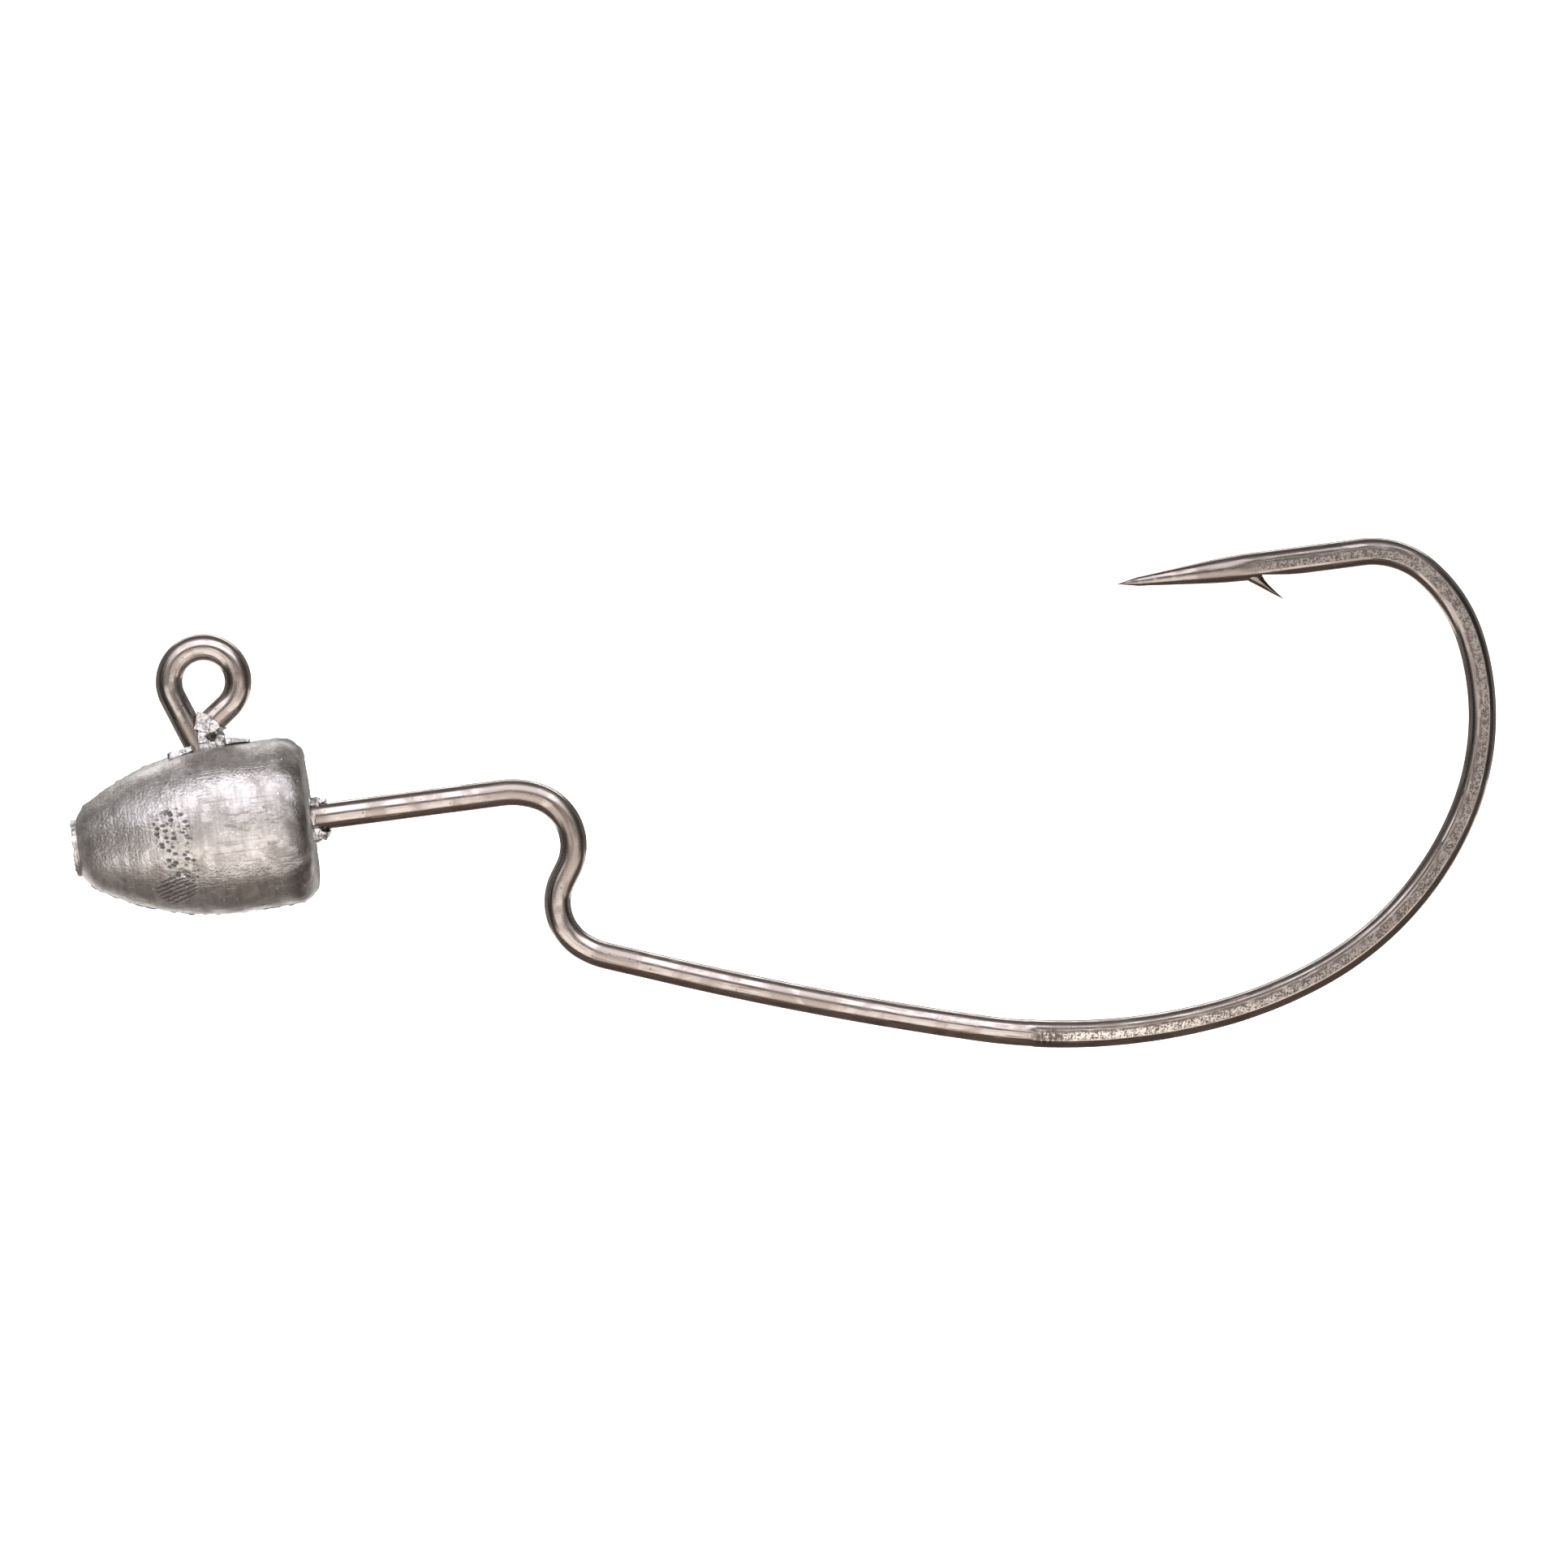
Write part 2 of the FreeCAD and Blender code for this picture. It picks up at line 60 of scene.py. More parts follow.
# %% [markdown]
# ## Sizes that both pieces share
#
# A mould maker's drawing starts from the wire and the shank's axis. The same few sizes drive
# everything below, in millimetres, and `mm` turns them into metres where they meet Blender.

# %% Shared sizes
WIRE_RADIUS = 0.70
SHANK_Z = -7.80
HEAD_RADIUS = 4.42


def mm(*values):
    """Millimetres to metres, as one number or as a vector."""
    if len(values) == 1:
        return values[0] / 1000
    return Vector(values) / 1000


def nothing_selected():
    """Operators act on all that is selected, so each new piece starts from nothing."""
    if bpy.context.object and bpy.context.object.mode != "OBJECT":
        bpy.ops.object.mode_set(mode="OBJECT")
    bpy.ops.object.select_all(action="DESELECT")


def only(piece):
    """Selects one piece and makes it the active one."""
    nothing_selected()
    piece.select_set(True)
    bpy.context.view_layer.objects.active = piece


def settle(piece, name):
    """Names a new primitive and puts its place into its mesh."""
    only(piece)
    piece.name = name
    piece.data.name = name
    bpy.ops.object.transform_apply(location=True, rotation=True, scale=True)
    return piece


def edit_all(kind):
    """Enters edit mode with everything selected."""
    bpy.ops.object.mode_set(mode="EDIT")
    bpy.ops.mesh.select_mode(type=kind)
    bpy.ops.mesh.select_all(action="SELECT")


def apply_modifier(piece, kind, **settings):
    """Adds a modifier with its settings and applies it."""
    only(piece)
    bpy.ops.object.modifier_add(type=kind)
    change = piece.modifiers[-1]
    for setting, value in settings.items():
        setattr(change, setting, value)
    bpy.ops.object.modifier_apply(modifier=change.name)


def turn_outwards():
    """Turns every face outwards and leaves edit mode."""
    bpy.ops.mesh.select_all(action="SELECT")
    bpy.ops.mesh.normals_make_consistent(inside=False)
    bpy.ops.object.mode_set(mode="OBJECT")


def extrude_ring(shift, scale, centre):
    """Extrudes the selected ring by a shift and scales it about a centre."""
    bpy.ops.mesh.extrude_region_move(TRANSFORM_OT_translate={"value": shift})
    bpy.ops.transform.resize(value=scale, center_override=centre)


def triangles(piece):
    """How many triangles a piece has."""
    piece.data.calc_loop_triangles()
    return len(piece.data.loop_triangles)


print("wire", 2 * WIRE_RADIUS, "mm, lead", 2 * HEAD_RADIUS, "mm across")

# %% [markdown]
# ## Camera
#
# The jig is looked at square on to the flat of the hook, with a long lens so that the wire keeps one
# thickness, and the shank climbs to the right by about seven and a half degrees.

# %% Camera
VIEW_CENTRE = mm(29.44, 0, -9.25)
VIEW_WIDTH = mm(82.1)
VIEW_DISTANCE = 0.60
VIEW_ROLL = math.radians(7.456)
SENSOR = 36.0

bpy.ops.object.camera_add(location=VIEW_CENTRE - Vector((0, VIEW_DISTANCE, 0)))
camera = bpy.context.object
camera.name = "camera"
camera.rotation_euler = (Matrix.Rotation(VIEW_ROLL, 4, "Y") @ Matrix.Rotation(math.pi / 2, 4, "X")).to_euler()
camera.data.sensor_width = SENSOR
camera.data.lens = SENSOR * VIEW_DISTANCE / VIEW_WIDTH
camera.data.clip_start = 0.01
camera.data.clip_end = 20.0
bpy.context.scene.camera = camera
print("lens", round(camera.data.lens), "mm")

# %% [markdown]
# ## Floor and backdrop
#
# The floor sweeps up into the wall behind, so there is no horizon line. It is a plane whose back edge
# is spun through a quarter turn and extruded up. It glows a little, so that it is evenly pale from
# every side, and it is kept out of reflections, or the edges of the wire would turn white.

# %% Floor and backdrop
FLOOR_Z = mm(-75)
FLOOR_MIDDLE = mm(600)
SWEEP_RADIUS = mm(150)
SWEEP_BACK = mm(1300)
SWEEP_WIDTH = mm(6000)
WALL_HEIGHT = mm(2200)


def plain_paper(name, colour, glow):
    """Matt pale paper, with a little light of its own so that it stays evenly pale."""
    paper = bpy.data.materials.new(name)
    paper.use_nodes = True
    shader = paper.node_tree.nodes["Principled BSDF"]
    shader.inputs["Base Color"].default_value = (*colour, 1)
    shader.inputs["Roughness"].default_value = 0.9
    shader.inputs["Emission Color"].default_value = (*colour, 1)
    shader.inputs["Emission Strength"].default_value = glow
    return paper


def make_sweep():
    """A floor whose back edge is spun up into a wall."""
    nothing_selected()
    bpy.ops.mesh.primitive_plane_add(size=1, location=(mm(30), -FLOOR_MIDDLE, FLOOR_Z))
    sweep = bpy.context.object
    sweep.scale = (SWEEP_WIDTH, 2 * (FLOOR_MIDDLE + SWEEP_BACK - SWEEP_RADIUS), 1)
    settle(sweep, "studio_sweep")
    bpy.ops.object.mode_set(mode="EDIT")
    bpy.ops.mesh.select_all(action="DESELECT")
    bpy.ops.object.mode_set(mode="OBJECT")
    back = max(v.co.y for v in sweep.data.vertices)
    for edge in sweep.data.edges:
        edge.select = all(sweep.data.vertices[i].co.y > back - 1e-6 for i in edge.vertices)
    bpy.ops.object.mode_set(mode="EDIT")
    bpy.ops.mesh.select_mode(type="EDGE")
    bpy.ops.mesh.spin(
        steps=24, angle=math.pi / 2, center=(0, back, FLOOR_Z + SWEEP_RADIUS), axis=(1, 0, 0)
    )
    bpy.ops.mesh.extrude_region_move(TRANSFORM_OT_translate={"value": (0, 0, WALL_HEIGHT)})
    bpy.ops.object.mode_set(mode="OBJECT")
    bpy.ops.object.shade_smooth()
    sweep.data.materials.append(plain_paper("pale_paper", (0.95, 0.95, 0.95), 1.10))
    sweep.visible_glossy = False
    return sweep


sweep = make_sweep()
print("sweep top", round(max(v.co.z for v in sweep.data.vertices), 3), "m")

# %% [markdown]
# ## Lights and cards
#
# Polished wire is a row of mirrors: what it looks like is what stands round it. A large cool light
# above and in front draws the bright line along its top, and a small one behind lifts the far side.
# Glowing cream cards stand low for the warm lower half of the wire, and dark cards give the lines
# between that tell the eye it is round. The cards show only in reflections.

# %% Lights and cards


def softbox(name, direction, distance, size, power, colour):
    """A square soft light that faces the middle of the jig and stays out of the picture."""
    place = VIEW_CENTRE + Vector(direction).normalized() * mm(distance)
    bpy.ops.object.light_add(type="AREA", location=place)
    light = bpy.context.object
    light.name = name
    light.rotation_euler = (VIEW_CENTRE - place).to_track_quat("-Z", "Y").to_euler()
    light.data.shape = "RECTANGLE"
    light.data.size = mm(size[0])
    light.data.size_y = mm(size[1])
    light.data.energy = power
    light.data.color = colour
    light.visible_camera = False
    return light


def reflector(name, shift, size, tilt, colour, glow=0.0):
    """A card that the metal reflects, placed from the middle of the picture, in millimetres."""
    bpy.ops.mesh.primitive_plane_add(size=1, location=VIEW_CENTRE + mm(*shift))
    card = bpy.context.object
    card.name = name
    card.rotation_euler = [math.radians(angle) for angle in tilt]
    card.scale = mm(size[0], size[1], 1000)
    card.data.materials.append(plain_paper(name, colour, glow))
    card.visible_camera = False
    card.visible_shadow = False
    card.visible_diffuse = False
    return card


nothing_selected()
softbox("top_light", (0.0, -0.95, 1.0), 330, (560, 300), 1.65, (0.95, 0.93, 1.0))
softbox("back_top_light", (0.1, 0.7, 0.8), 400, (500, 160), 0.8, (1.0, 1.0, 1.0))
reflector("cream_card", (0, -130, -62), (330, 200), (0, 0, 0), (1.0, 0.94, 0.87), 0.86)
reflector("front_card", (0, -330, -40), (600, 100), (90, 0, 0), (1.0, 0.95, 0.90), 0.42)
reflector("back_low_card", (0, 190, -62), (420, 180), (0, 0, 0), (1.0, 0.97, 0.94), 0.80)
reflector("card_below", (0, 5, -50), (330, 80), (0, 0, 0), (0.13, 0.10, 0.08))
reflector("card_above", (0, 40, 110), (420, 100), (20, 0, 0), (0.12, 0.11, 0.10))
reflector("card_right", (185, -40, 10), (220, 130), (0, 90, 0), (0.03, 0.025, 0.022))
reflector("card_left", (-185, -60, 10), (220, 130), (0, 90, 0), (0.03, 0.025, 0.022))

world = bpy.data.worlds.new("dim_room")
world.use_nodes = True
background = world.node_tree.nodes["Background"]
background.inputs["Color"].default_value = (0.80, 0.76, 0.72, 1)
background.inputs["Strength"].default_value = 0.50
bpy.context.scene.world = world
bpy.context.scene.view_settings.view_transform = "Standard"
print("lit with", [light.name for light in bpy.data.lights])

# %% [markdown]
# ## The route of the wire
#
# A hook is bent from straight wire round a row of pins, so its centre line is only straights and arcs,
# each tangent to the last. Written down that way it is a short list: how far to go, or how tight and
# how far to turn. A positive turn is to the left, towards +Z when heading along +X. The walk starts at
# the cut end of the eye and stops where the point begins.

# %% The bends, in the order they are made
EYE_RADIUS = 1.81
EYE_TURN = 254.0
TAIL_HEADING = 36.0
TAIL_LENGTH = 1.35
SHANK_REACH = 14.70

LEG_RUNS = [
    ("straight", TAIL_LENGTH),
    ("bend", EYE_RADIUS, EYE_TURN),
    ("straight", 2.60),
    ("bend", 1.50, -20.0),
]
HIDDEN_BEND_RADIUS = 2.20
HOOK_RUNS = [
    ("bend", 4.40, -25.0),
    ("bend", 2.70, -99.0),
    ("straight", 0.60),
    ("bend", 2.70, 84.0),
    ("bend", 4.20, 19.5),
    ("straight", 3.50),
    ("bend", 188.0, 5.0),
    ("bend", 31.5, 23.0),
    ("bend", 23.5, 14.0),
    ("bend", 17.0, 38.0),
    ("bend", 13.4, 40.5),
    ("bend", 7.70, 32.0),
    ("bend", 4.30, 48.0),
    ("straight", 6.70),
]


def ahead(heading, aside=0.0):
    """Unit vector along a heading in the plane of the hook, in degrees from +X towards +Z."""
    angle = math.radians(heading + aside)
    return Vector((math.cos(angle), 0, math.sin(angle)))


def walk(at, heading, runs):
    """Each run with its start, its heading there and, for a bend, its centre."""
    stops = []
    for run in runs:
        stop = {"kind": run[0], "at": at.copy(), "heading": heading}
        if run[0] == "straight":
            stop["length"] = run[1]
            at = at + ahead(heading) * run[1]
        else:
            radius, turn = run[1], run[2]
            side = math.copysign(90, turn)
            centre = at + ahead(heading, side) * radius
            stop.update(radius=radius, turn=turn, centre=centre, length=radius * math.radians(abs(turn)))
            heading += turn
            at = centre + ahead(heading, -side) * radius
        stops.append(stop)
    return stops, at, heading


def wire_route():
    """The whole centre line, in millimetres, and the place and heading at its end."""
    tail_start = ahead(TAIL_HEADING - 90) * EYE_RADIUS - ahead(TAIL_HEADING) * TAIL_LENGTH
    leg, at, heading = walk(tail_start, TAIL_HEADING, LEG_RUNS)
    drop = at.z - SHANK_Z - HIDDEN_BEND_RADIUS
    shank = SHANK_REACH - at.x - HIDDEN_BEND_RADIUS
    inside = [("straight", drop), ("bend", HIDDEN_BEND_RADIUS, 90.0), ("straight", shank)]
    rest, at, heading = walk(at, heading, inside + HOOK_RUNS)
    return leg + rest, at, heading % 360


ROUTE, POINT_START, POINT_HEADING = wire_route()
print(len(ROUTE), "runs,", round(sum(run["length"] for run in ROUTE), 1), "mm of wire")
print("point starts at", POINT_START, "heading", round(POINT_HEADING, 2))

# %% [markdown]
# ## The wire
#
# A curve with a bevel would make this tube in one step, but its section could not then be pressed,
# ground or marked. So the wire is made as it is by hand in edit mode: a circle stands at the cut end,
# is extruded along each straight and spun round the centre of each bend. Both operators leave the new
# ring selected, so the walk simply goes on. The circle has a corner on each side of the hook, where
# the forged flats will come.

# %% Carry a circle along the route
SECTION_CORNERS = 48
BEND_STEP = 0.30
STRAIGHT_STEP = 0.50
TIGHT_TURN = 5.0


def start_ring(at, heading, radius):
    """An open circle across the wire, in edit mode and selected."""
    nothing_selected()
    bpy.ops.mesh.primitive_circle_add(
        vertices=SECTION_CORNERS, radius=mm(radius), location=at / 1000,
        rotation=(0, math.radians(90 - heading), 0),
    )
    ring = settle(bpy.context.object, "hook_wire")
    edit_all("EDGE")
    return ring


def extrude_straight(heading, length):
    """Extrudes the selected ring straight ahead, in steps."""
    steps = max(1, round(length / STRAIGHT_STEP))
    for _ in range(steps):
        bpy.ops.mesh.extrude_region_move(
            TRANSFORM_OT_translate={"value": ahead(heading) * mm(length / steps)}
        )


def spin_bend(run):
    """Spins the selected ring round the centre of a bend; spin counts a left turn about +Y."""
    steps = max(round(abs(run["turn"]) / TIGHT_TURN), round(run["length"] / BEND_STEP))
    bpy.ops.mesh.spin(
        steps=steps, angle=math.radians(abs(run["turn"])), center=run["centre"] / 1000,
        axis=(0, math.copysign(1, run["turn"]), 0),
    )


def make_wire():
    """The round wire from its cut end to where the point starts, still open at both ends."""
    first = ROUTE[0]
    wire = start_ring(first["at"], first["heading"], WIRE_RADIUS)
    for run in ROUTE:
        if run["kind"] == "straight":
            extrude_straight(run["heading"], run["length"])
        else:
            spin_bend(run)
    return wire


hook = make_wire()
print("wire from", ROUTE[0]["at"], "to", POINT_START, "mm")

# %% [markdown]
# ## The point
#
# The point is ground on a wheel: a long even taper, then a short steeper needle. Grinding leaves the
# last ring where the wheel left it, so the ring is simply extruded and scaled down about the wire's
# axis, and the needle's tip is closed to a very small circle.

# %% Grind the point
TAPER_LENGTH = 5.10
NEEDLE_LENGTH = 1.10
TIP_RADIUS = 0.02
POINT_SHAPE = [
    (0.06, 0.985), (0.16, 0.94), (0.30, 0.855), (0.50, 0.72), (0.72, 0.56), (0.90, 0.42), (1.0, 0.357),
]
NEEDLE_SHAPE = [(0.5, 0.19), (1.0, TIP_RADIUS / WIRE_RADIUS)]


def grind_point():
    """Extrudes and shrinks the last ring: (share of the length, share of the wire's radius)."""
    rings = [(share * TAPER_LENGTH, size) for share, size in POINT_SHAPE]
    rings += [(TAPER_LENGTH + share * NEEDLE_LENGTH, size) for share, size in NEEDLE_SHAPE]
    done, last_size = 0.0, 1.0
    for reach, size in rings:
        scale = size / last_size
        centre = (POINT_START + ahead(POINT_HEADING) * reach) / 1000
        extrude_ring(ahead(POINT_HEADING) * mm(reach - done), (1, scale, scale), centre)
        done, last_size = reach, size
    bpy.ops.mesh.edge_face_add()


grind_point()
bpy.ops.mesh.select_all(action="DESELECT")
bpy.ops.mesh.select_non_manifold(extend=False, use_wire=False)
bpy.ops.mesh.edge_face_add()
turn_outwards()
print("hook wire", triangles(hook), "triangles")

# %% [markdown]
# ## Forged flats
#
# The bend is struck between two dies so that it will not straighten under a fish. The blow spreads the
# wire a little in its own plane and leaves a narrow flat on each side. By hand that is two moves: the
# struck stretch is fattened a touch, then the corners beyond the flat are scaled to one plane.

# %% Press the flats
FLAT_START_X = 40.6
FLAT_END_X = 54.6
FLAT_ABOVE_Z = -12.0
SPREAD = 0.03
FLAT_DEPTH = 0.05
FLAT_FADE = 1.6


def struck(x, z):
    """Whether a place in the plane of the hook, in millimetres, was between the dies."""
    below = z < FLAT_ABOVE_Z
    return x > (FLAT_START_X if below else FLAT_END_X)


def pick_corners(piece, wanted):
    """Selects the vertices for which wanted(place in millimetres) is true, and enters edit mode."""
    only(piece)
    bpy.ops.object.mode_set(mode="EDIT")
    bpy.ops.mesh.select_mode(type="VERT")
    bpy.ops.mesh.select_all(action="DESELECT")
    bpy.ops.object.mode_set(mode="OBJECT")
    count = 0
    for corner in piece.data.vertices:
        corner.select = bool(wanted(corner.co * 1000))
        count += corner.select
    bpy.ops.object.mode_set(mode="EDIT")
    return count


pick_corners(hook, lambda at: struck(at.x, at.z))
bpy.ops.transform.shrink_fatten(value=mm(SPREAD))
for side in (-1, 1):
    flat = WIRE_RADIUS - FLAT_DEPTH
    pressed = pick_corners(hook, lambda at: struck(at.x, at.z) and at.y * side > flat)
    bpy.ops.transform.resize(value=(1, 0, 1), center_override=mm(0, side * flat, 0))
    print("flat on side", side, "has", pressed, "corners")
bpy.ops.object.mode_set(mode="OBJECT")

# %% [markdown]
# ## Marks of the bending tools
#
# Where two dies met, the wire keeps a thin raised line across it: one on each side of the eye and two
# on the Z-bend. Each is a ring of corners that is moved a little along its normals.

# %% Die lines
# Each line: x, z, half its width and its height, in millimetres.
DIE_LINES = [
    (1.81, 0.05, 0.07, 0.006), (-1.81, 0.05, 0.07, 0.006), (18.20, -10.55, 0.16, 0.007),
    (17.15, -15.30, 0.16, 0.007),
]


def on_die_line(at, x, z, half_width):
    return abs(at.z - z) < half_width and abs(at.x - x) < WIRE_RADIUS + 0.2


for x, z, half_width, height in DIE_LINES:
    found = pick_corners(hook, lambda at: on_die_line(at, x, z, half_width))
    bpy.ops.transform.shrink_fatten(value=mm(height))
    print("die line at", (x, z), "moved", found, "corners")
bpy.ops.object.mode_set(mode="OBJECT")

# %% [markdown]
# ## The barb
#
# A chisel lifts a thin tongue of steel from the inner side of the point and leaves a shallow scoop
# behind it. The scoop is a cut with a tilted block, the tongue is a ring that is extruded and shrunk
# towards its tip, and a boolean joins them to the wire so that the hook stays one closed surface.

# %% Scoop and barb
SCOOP_FRONT = 1.26
SCOOP_DEPTH = 0.22
SCOOP_LENGTH = 1.85
# Place from the start of the point, then length and width of each ring.
BARB_SECTIONS = [
    (0.82, -0.42, 1.08, 0.98), (0.90, -0.60, 1.02, 0.94), (1.08, -0.80, 0.82, 0.86),
    (1.36, -1.06, 0.60, 0.70), (1.66, -1.33, 0.42, 0.53), (1.94, -1.58, 0.27, 0.36),
    (2.16, -1.77, 0.14, 0.20), (2.34, -1.92, 0.02, 0.05),
]


def boolean(piece, tool, operation):
    """Applies a boolean of a tool to a piece and deletes the tool."""
    apply_modifier(piece, "BOOLEAN", operation=operation, object=tool, solver="EXACT")
    only(tool)
    bpy.ops.object.delete()


def cut_scoop():
    """Shaves the inner side of the point behind the barb, deepest at the notch."""
    nothing_selected()
    slope = math.atan2(SCOOP_DEPTH, SCOOP_LENGTH)
    bpy.ops.mesh.primitive_cube_add(size=1)
    tool = bpy.context.object
    tool.scale = mm(SCOOP_LENGTH + 0.3, 3, 1)
    tool.rotation_euler = Euler((0, slope, 0))
    notch = POINT_START + Vector((SCOOP_FRONT, 0, -WIRE_RADIUS + SCOOP_DEPTH))
    middle = Vector(((SCOOP_LENGTH + 0.3) / 2, 0, -0.5))
    middle.rotate(Euler((0, slope, 0)))
    tool.location = (notch + middle) / 1000
    settle(tool, "scoop_tool")
    boolean(hook, tool, "DIFFERENCE")


def make_barb():
    """The tongue of steel, one ring extruded down to its tip."""
    nothing_selected()
    x, z, long, wide = BARB_SECTIONS[0]
    centre = POINT_START + Vector((x, 0, z))
    bpy.ops.mesh.primitive_circle_add(vertices=20, radius=mm(0.5), fill_type="NGON", location=centre / 1000)
    barb = bpy.context.object
    barb.scale = (long, wide, 1)
    settle(barb, "barb")
    edit_all("VERT")
    for (x0, z0, long0, wide0), (x1, z1, long1, wide1) in zip(BARB_SECTIONS, BARB_SECTIONS[1:]):
        centre = (POINT_START + Vector((x1, 0, z1))) / 1000
        extrude_ring(mm(x1 - x0, 0, z1 - z0), (long1 / long0, wide1 / wide0, 1), centre)
    turn_outwards()
    return barb


cut_scoop()
boolean(hook, make_barb(), "UNION")
only(hook)
bpy.ops.object.shade_smooth_by_angle(angle=math.radians(22))
print("hook", triangles(hook), "triangles, box", hook.bound_box[0][:], hook.bound_box[6][:])

# %% [markdown]
# ## A map of the wire for its finish
#
# Drawn wire is scratched along its length, round every bend, so its pattern has to follow the route.
# Each corner gets the place that it had when the wire was still straight: how far along, and where
# round the section. Kept as an attribute of three numbers it has no seam, unlike an unwrapped picture.
# A second attribute says how far inside the struck stretch a corner is.

# %% Straightened coordinates


def in_plane(vector):
    """The X and Z of a vector."""
    return np.array(vector)[[0, 2]]


def along_run(run, flat):
    """For places in the plane of the hook: distance along a run, offset inwards, and its centre line."""
    if run["kind"] == "straight":
        forwards = in_plane(ahead(run["heading"]))
        from_start = flat - in_plane(run["at"])
        here = np.clip(from_start @ forwards, 0, run["length"])
        aside = from_start @ in_plane(ahead(run["heading"], 90))
        return here, aside, in_plane(run["at"]) + here[:, None] * forwards
    side = math.copysign(1, run["turn"])
    first = math.radians(run["heading"] - 90 * side)
    spoke = flat - in_plane(run["centre"])
    full = math.radians(abs(run["turn"]))
    spare = (2 * math.pi - full) / 2
    turned = side * (np.arctan2(spoke[:, 1], spoke[:, 0]) - first)
    turned = (turned + spare) % (2 * math.pi) - spare
    here = np.clip(turned, 0, full) * run["radius"]
    aside = side * (run["radius"] - np.hypot(spoke[:, 0], spoke[:, 1]))
    angle = first + side * here / run["radius"]
    centre_line = in_plane(run["centre"]) + run["radius"] * np.column_stack([np.cos(angle), np.sin(angle)])
    return here, aside, centre_line


def straighten(points):
    """For each point in millimetres: distance along the wire, and offset inwards across it."""
    best = np.full(len(points), 1e9)
    along = np.zeros(len(points))
    across = np.zeros(len(points))
    start = 0.0
    flat = points[:, [0, 2]]
    for run in ROUTE:
        here, aside, centre_line = along_run(run, flat)
        gap = np.hypot(*(flat - centre_line).T)
        nearer = gap < best
        best[nearer] = gap[nearer]
        along[nearer] = start + here[nearer]
        across[nearer] = aside[nearer]
        start += run["length"]
    last = np.maximum(0, POINT_START.x - points[:, 0]) * (along > start - 0.01)
    return along + last, across


def add_numbers(piece, name, kind, values):
    """Stores numbers on each corner of a piece for its material to read."""
    layer = piece.data.attributes.new(name, kind, "POINT")
    key = "vector" if kind == "FLOAT_VECTOR" else "value"
    layer.data.foreach_set(key, np.asarray(values, dtype=np.float32).ravel())


def corners_of(piece):
    """All corners of a piece, in millimetres."""
    places = np.empty(len(piece.data.vertices) * 3, dtype=np.float32)
    piece.data.vertices.foreach_get("co", places)
    return places.reshape(-1, 3).astype(float) * 1000


places = corners_of(hook)
along, across = straighten(places)
add_numbers(hook, "straight_wire", "FLOAT_VECTOR", np.column_stack([along, across, places[:, 1]]))
in_dies = np.where(places[:, 2] < FLAT_ABOVE_Z, places[:, 0] - FLAT_START_X, places[:, 0] - FLAT_END_X)
add_numbers(hook, "struck", "FLOAT", np.clip(in_dies / FLAT_FADE, 0, 1))
print("wire runs to", round(along.max(), 1), "mm")
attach(hook, "root")
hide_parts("hook")

# %% [markdown]
# ## The lead
#
# The cavity of the mould is turned on a lathe, so the lead is rings about the shank's axis: a round
# nose, a long flank that meets it, a straight side with a little draft and a rounded rear edge. A circle
# on the gate of the nose is extruded and scaled ring by ring. The rings are close together, because
# the pits and the seam of the real casting are then moved into the same surface.

# %% Lathe profile
HEAD_MIDDLE = 0.56
NOSE_REACH = 8.54
NOSE_RADIUS = 2.90
HEAD_REAR = 4.68
REAR_DRAFT = 0.12
REAR_ROUND = 1.20
GATE_RADIUS = 1.45
GATE_PROUD = 0.26
HEAD_CORNERS = 240


def arc(x, middle, radius, first, last, steps):
    """Places (x, distance from the shank) on an arc whose centre is at (x, middle)."""
    angles = np.linspace(first, last, steps)
    return [(x + radius * math.cos(angle), middle + radius * math.sin(angle)) for angle in angles]


def lathe_profile():
    """(x, radius) of each ring in millimetres, from the gate's rim to the shank."""
    nose_x = HEAD_MIDDLE - NOSE_REACH + NOSE_RADIUS
    reach = NOSE_REACH - NOSE_RADIUS
    flank = (reach ** 2 + HEAD_RADIUS ** 2 - NOSE_RADIUS ** 2) / (2 * (HEAD_RADIUS - NOSE_RADIUS))
    joint = math.pi - math.atan2(flank - HEAD_RADIUS, reach)
    gate_angle = math.pi - math.asin(GATE_RADIUS / NOSE_RADIUS)
    rings = arc(nose_x, 0, NOSE_RADIUS, gate_angle, joint, 12)
    rings += arc(HEAD_MIDDLE, HEAD_RADIUS - flank, flank, joint, math.pi / 2, 56)[1:]
    round_x = HEAD_REAR - REAR_ROUND
    for x in np.linspace(HEAD_MIDDLE, round_x, 24)[1:]:
        rings.append((x, HEAD_RADIUS - REAR_DRAFT * (x - HEAD_MIDDLE) / (HEAD_REAR - HEAD_MIDDLE)))
    rim = rings[-1][1] - REAR_ROUND
    rings += arc(round_x, rim, REAR_ROUND, math.pi / 2, 0, 14)[1:]
    rings += [(HEAD_REAR, radius) for radius in np.linspace(rim, WIRE_RADIUS - 0.05, 18)[1:]]
    return rings


def make_lead():
    """The lead, as it leaves the lathe-turned cavity."""
    rings = lathe_profile()
    x, radius = rings[0]
    nothing_selected()
    bpy.ops.mesh.primitive_circle_add(
        vertices=HEAD_CORNERS, radius=mm(radius), location=mm(x, 0, SHANK_Z), rotation=(0, math.pi / 2, 0)
    )
    lead = settle(bpy.context.object, "lead_casting")
    edit_all("EDGE")
    for (x0, radius0), (x1, radius1) in zip(rings, rings[1:]):
        scale = radius1 / radius0
        extrude_ring(mm(x1 - x0, 0, 0), (1, scale, scale), mm(x1, 0, SHANK_Z))
    bpy.ops.mesh.edge_face_add()
    bpy.ops.object.mode_set(mode="OBJECT")
    return lead


lead = make_lead()
print("lead", triangles(lead), "triangles")

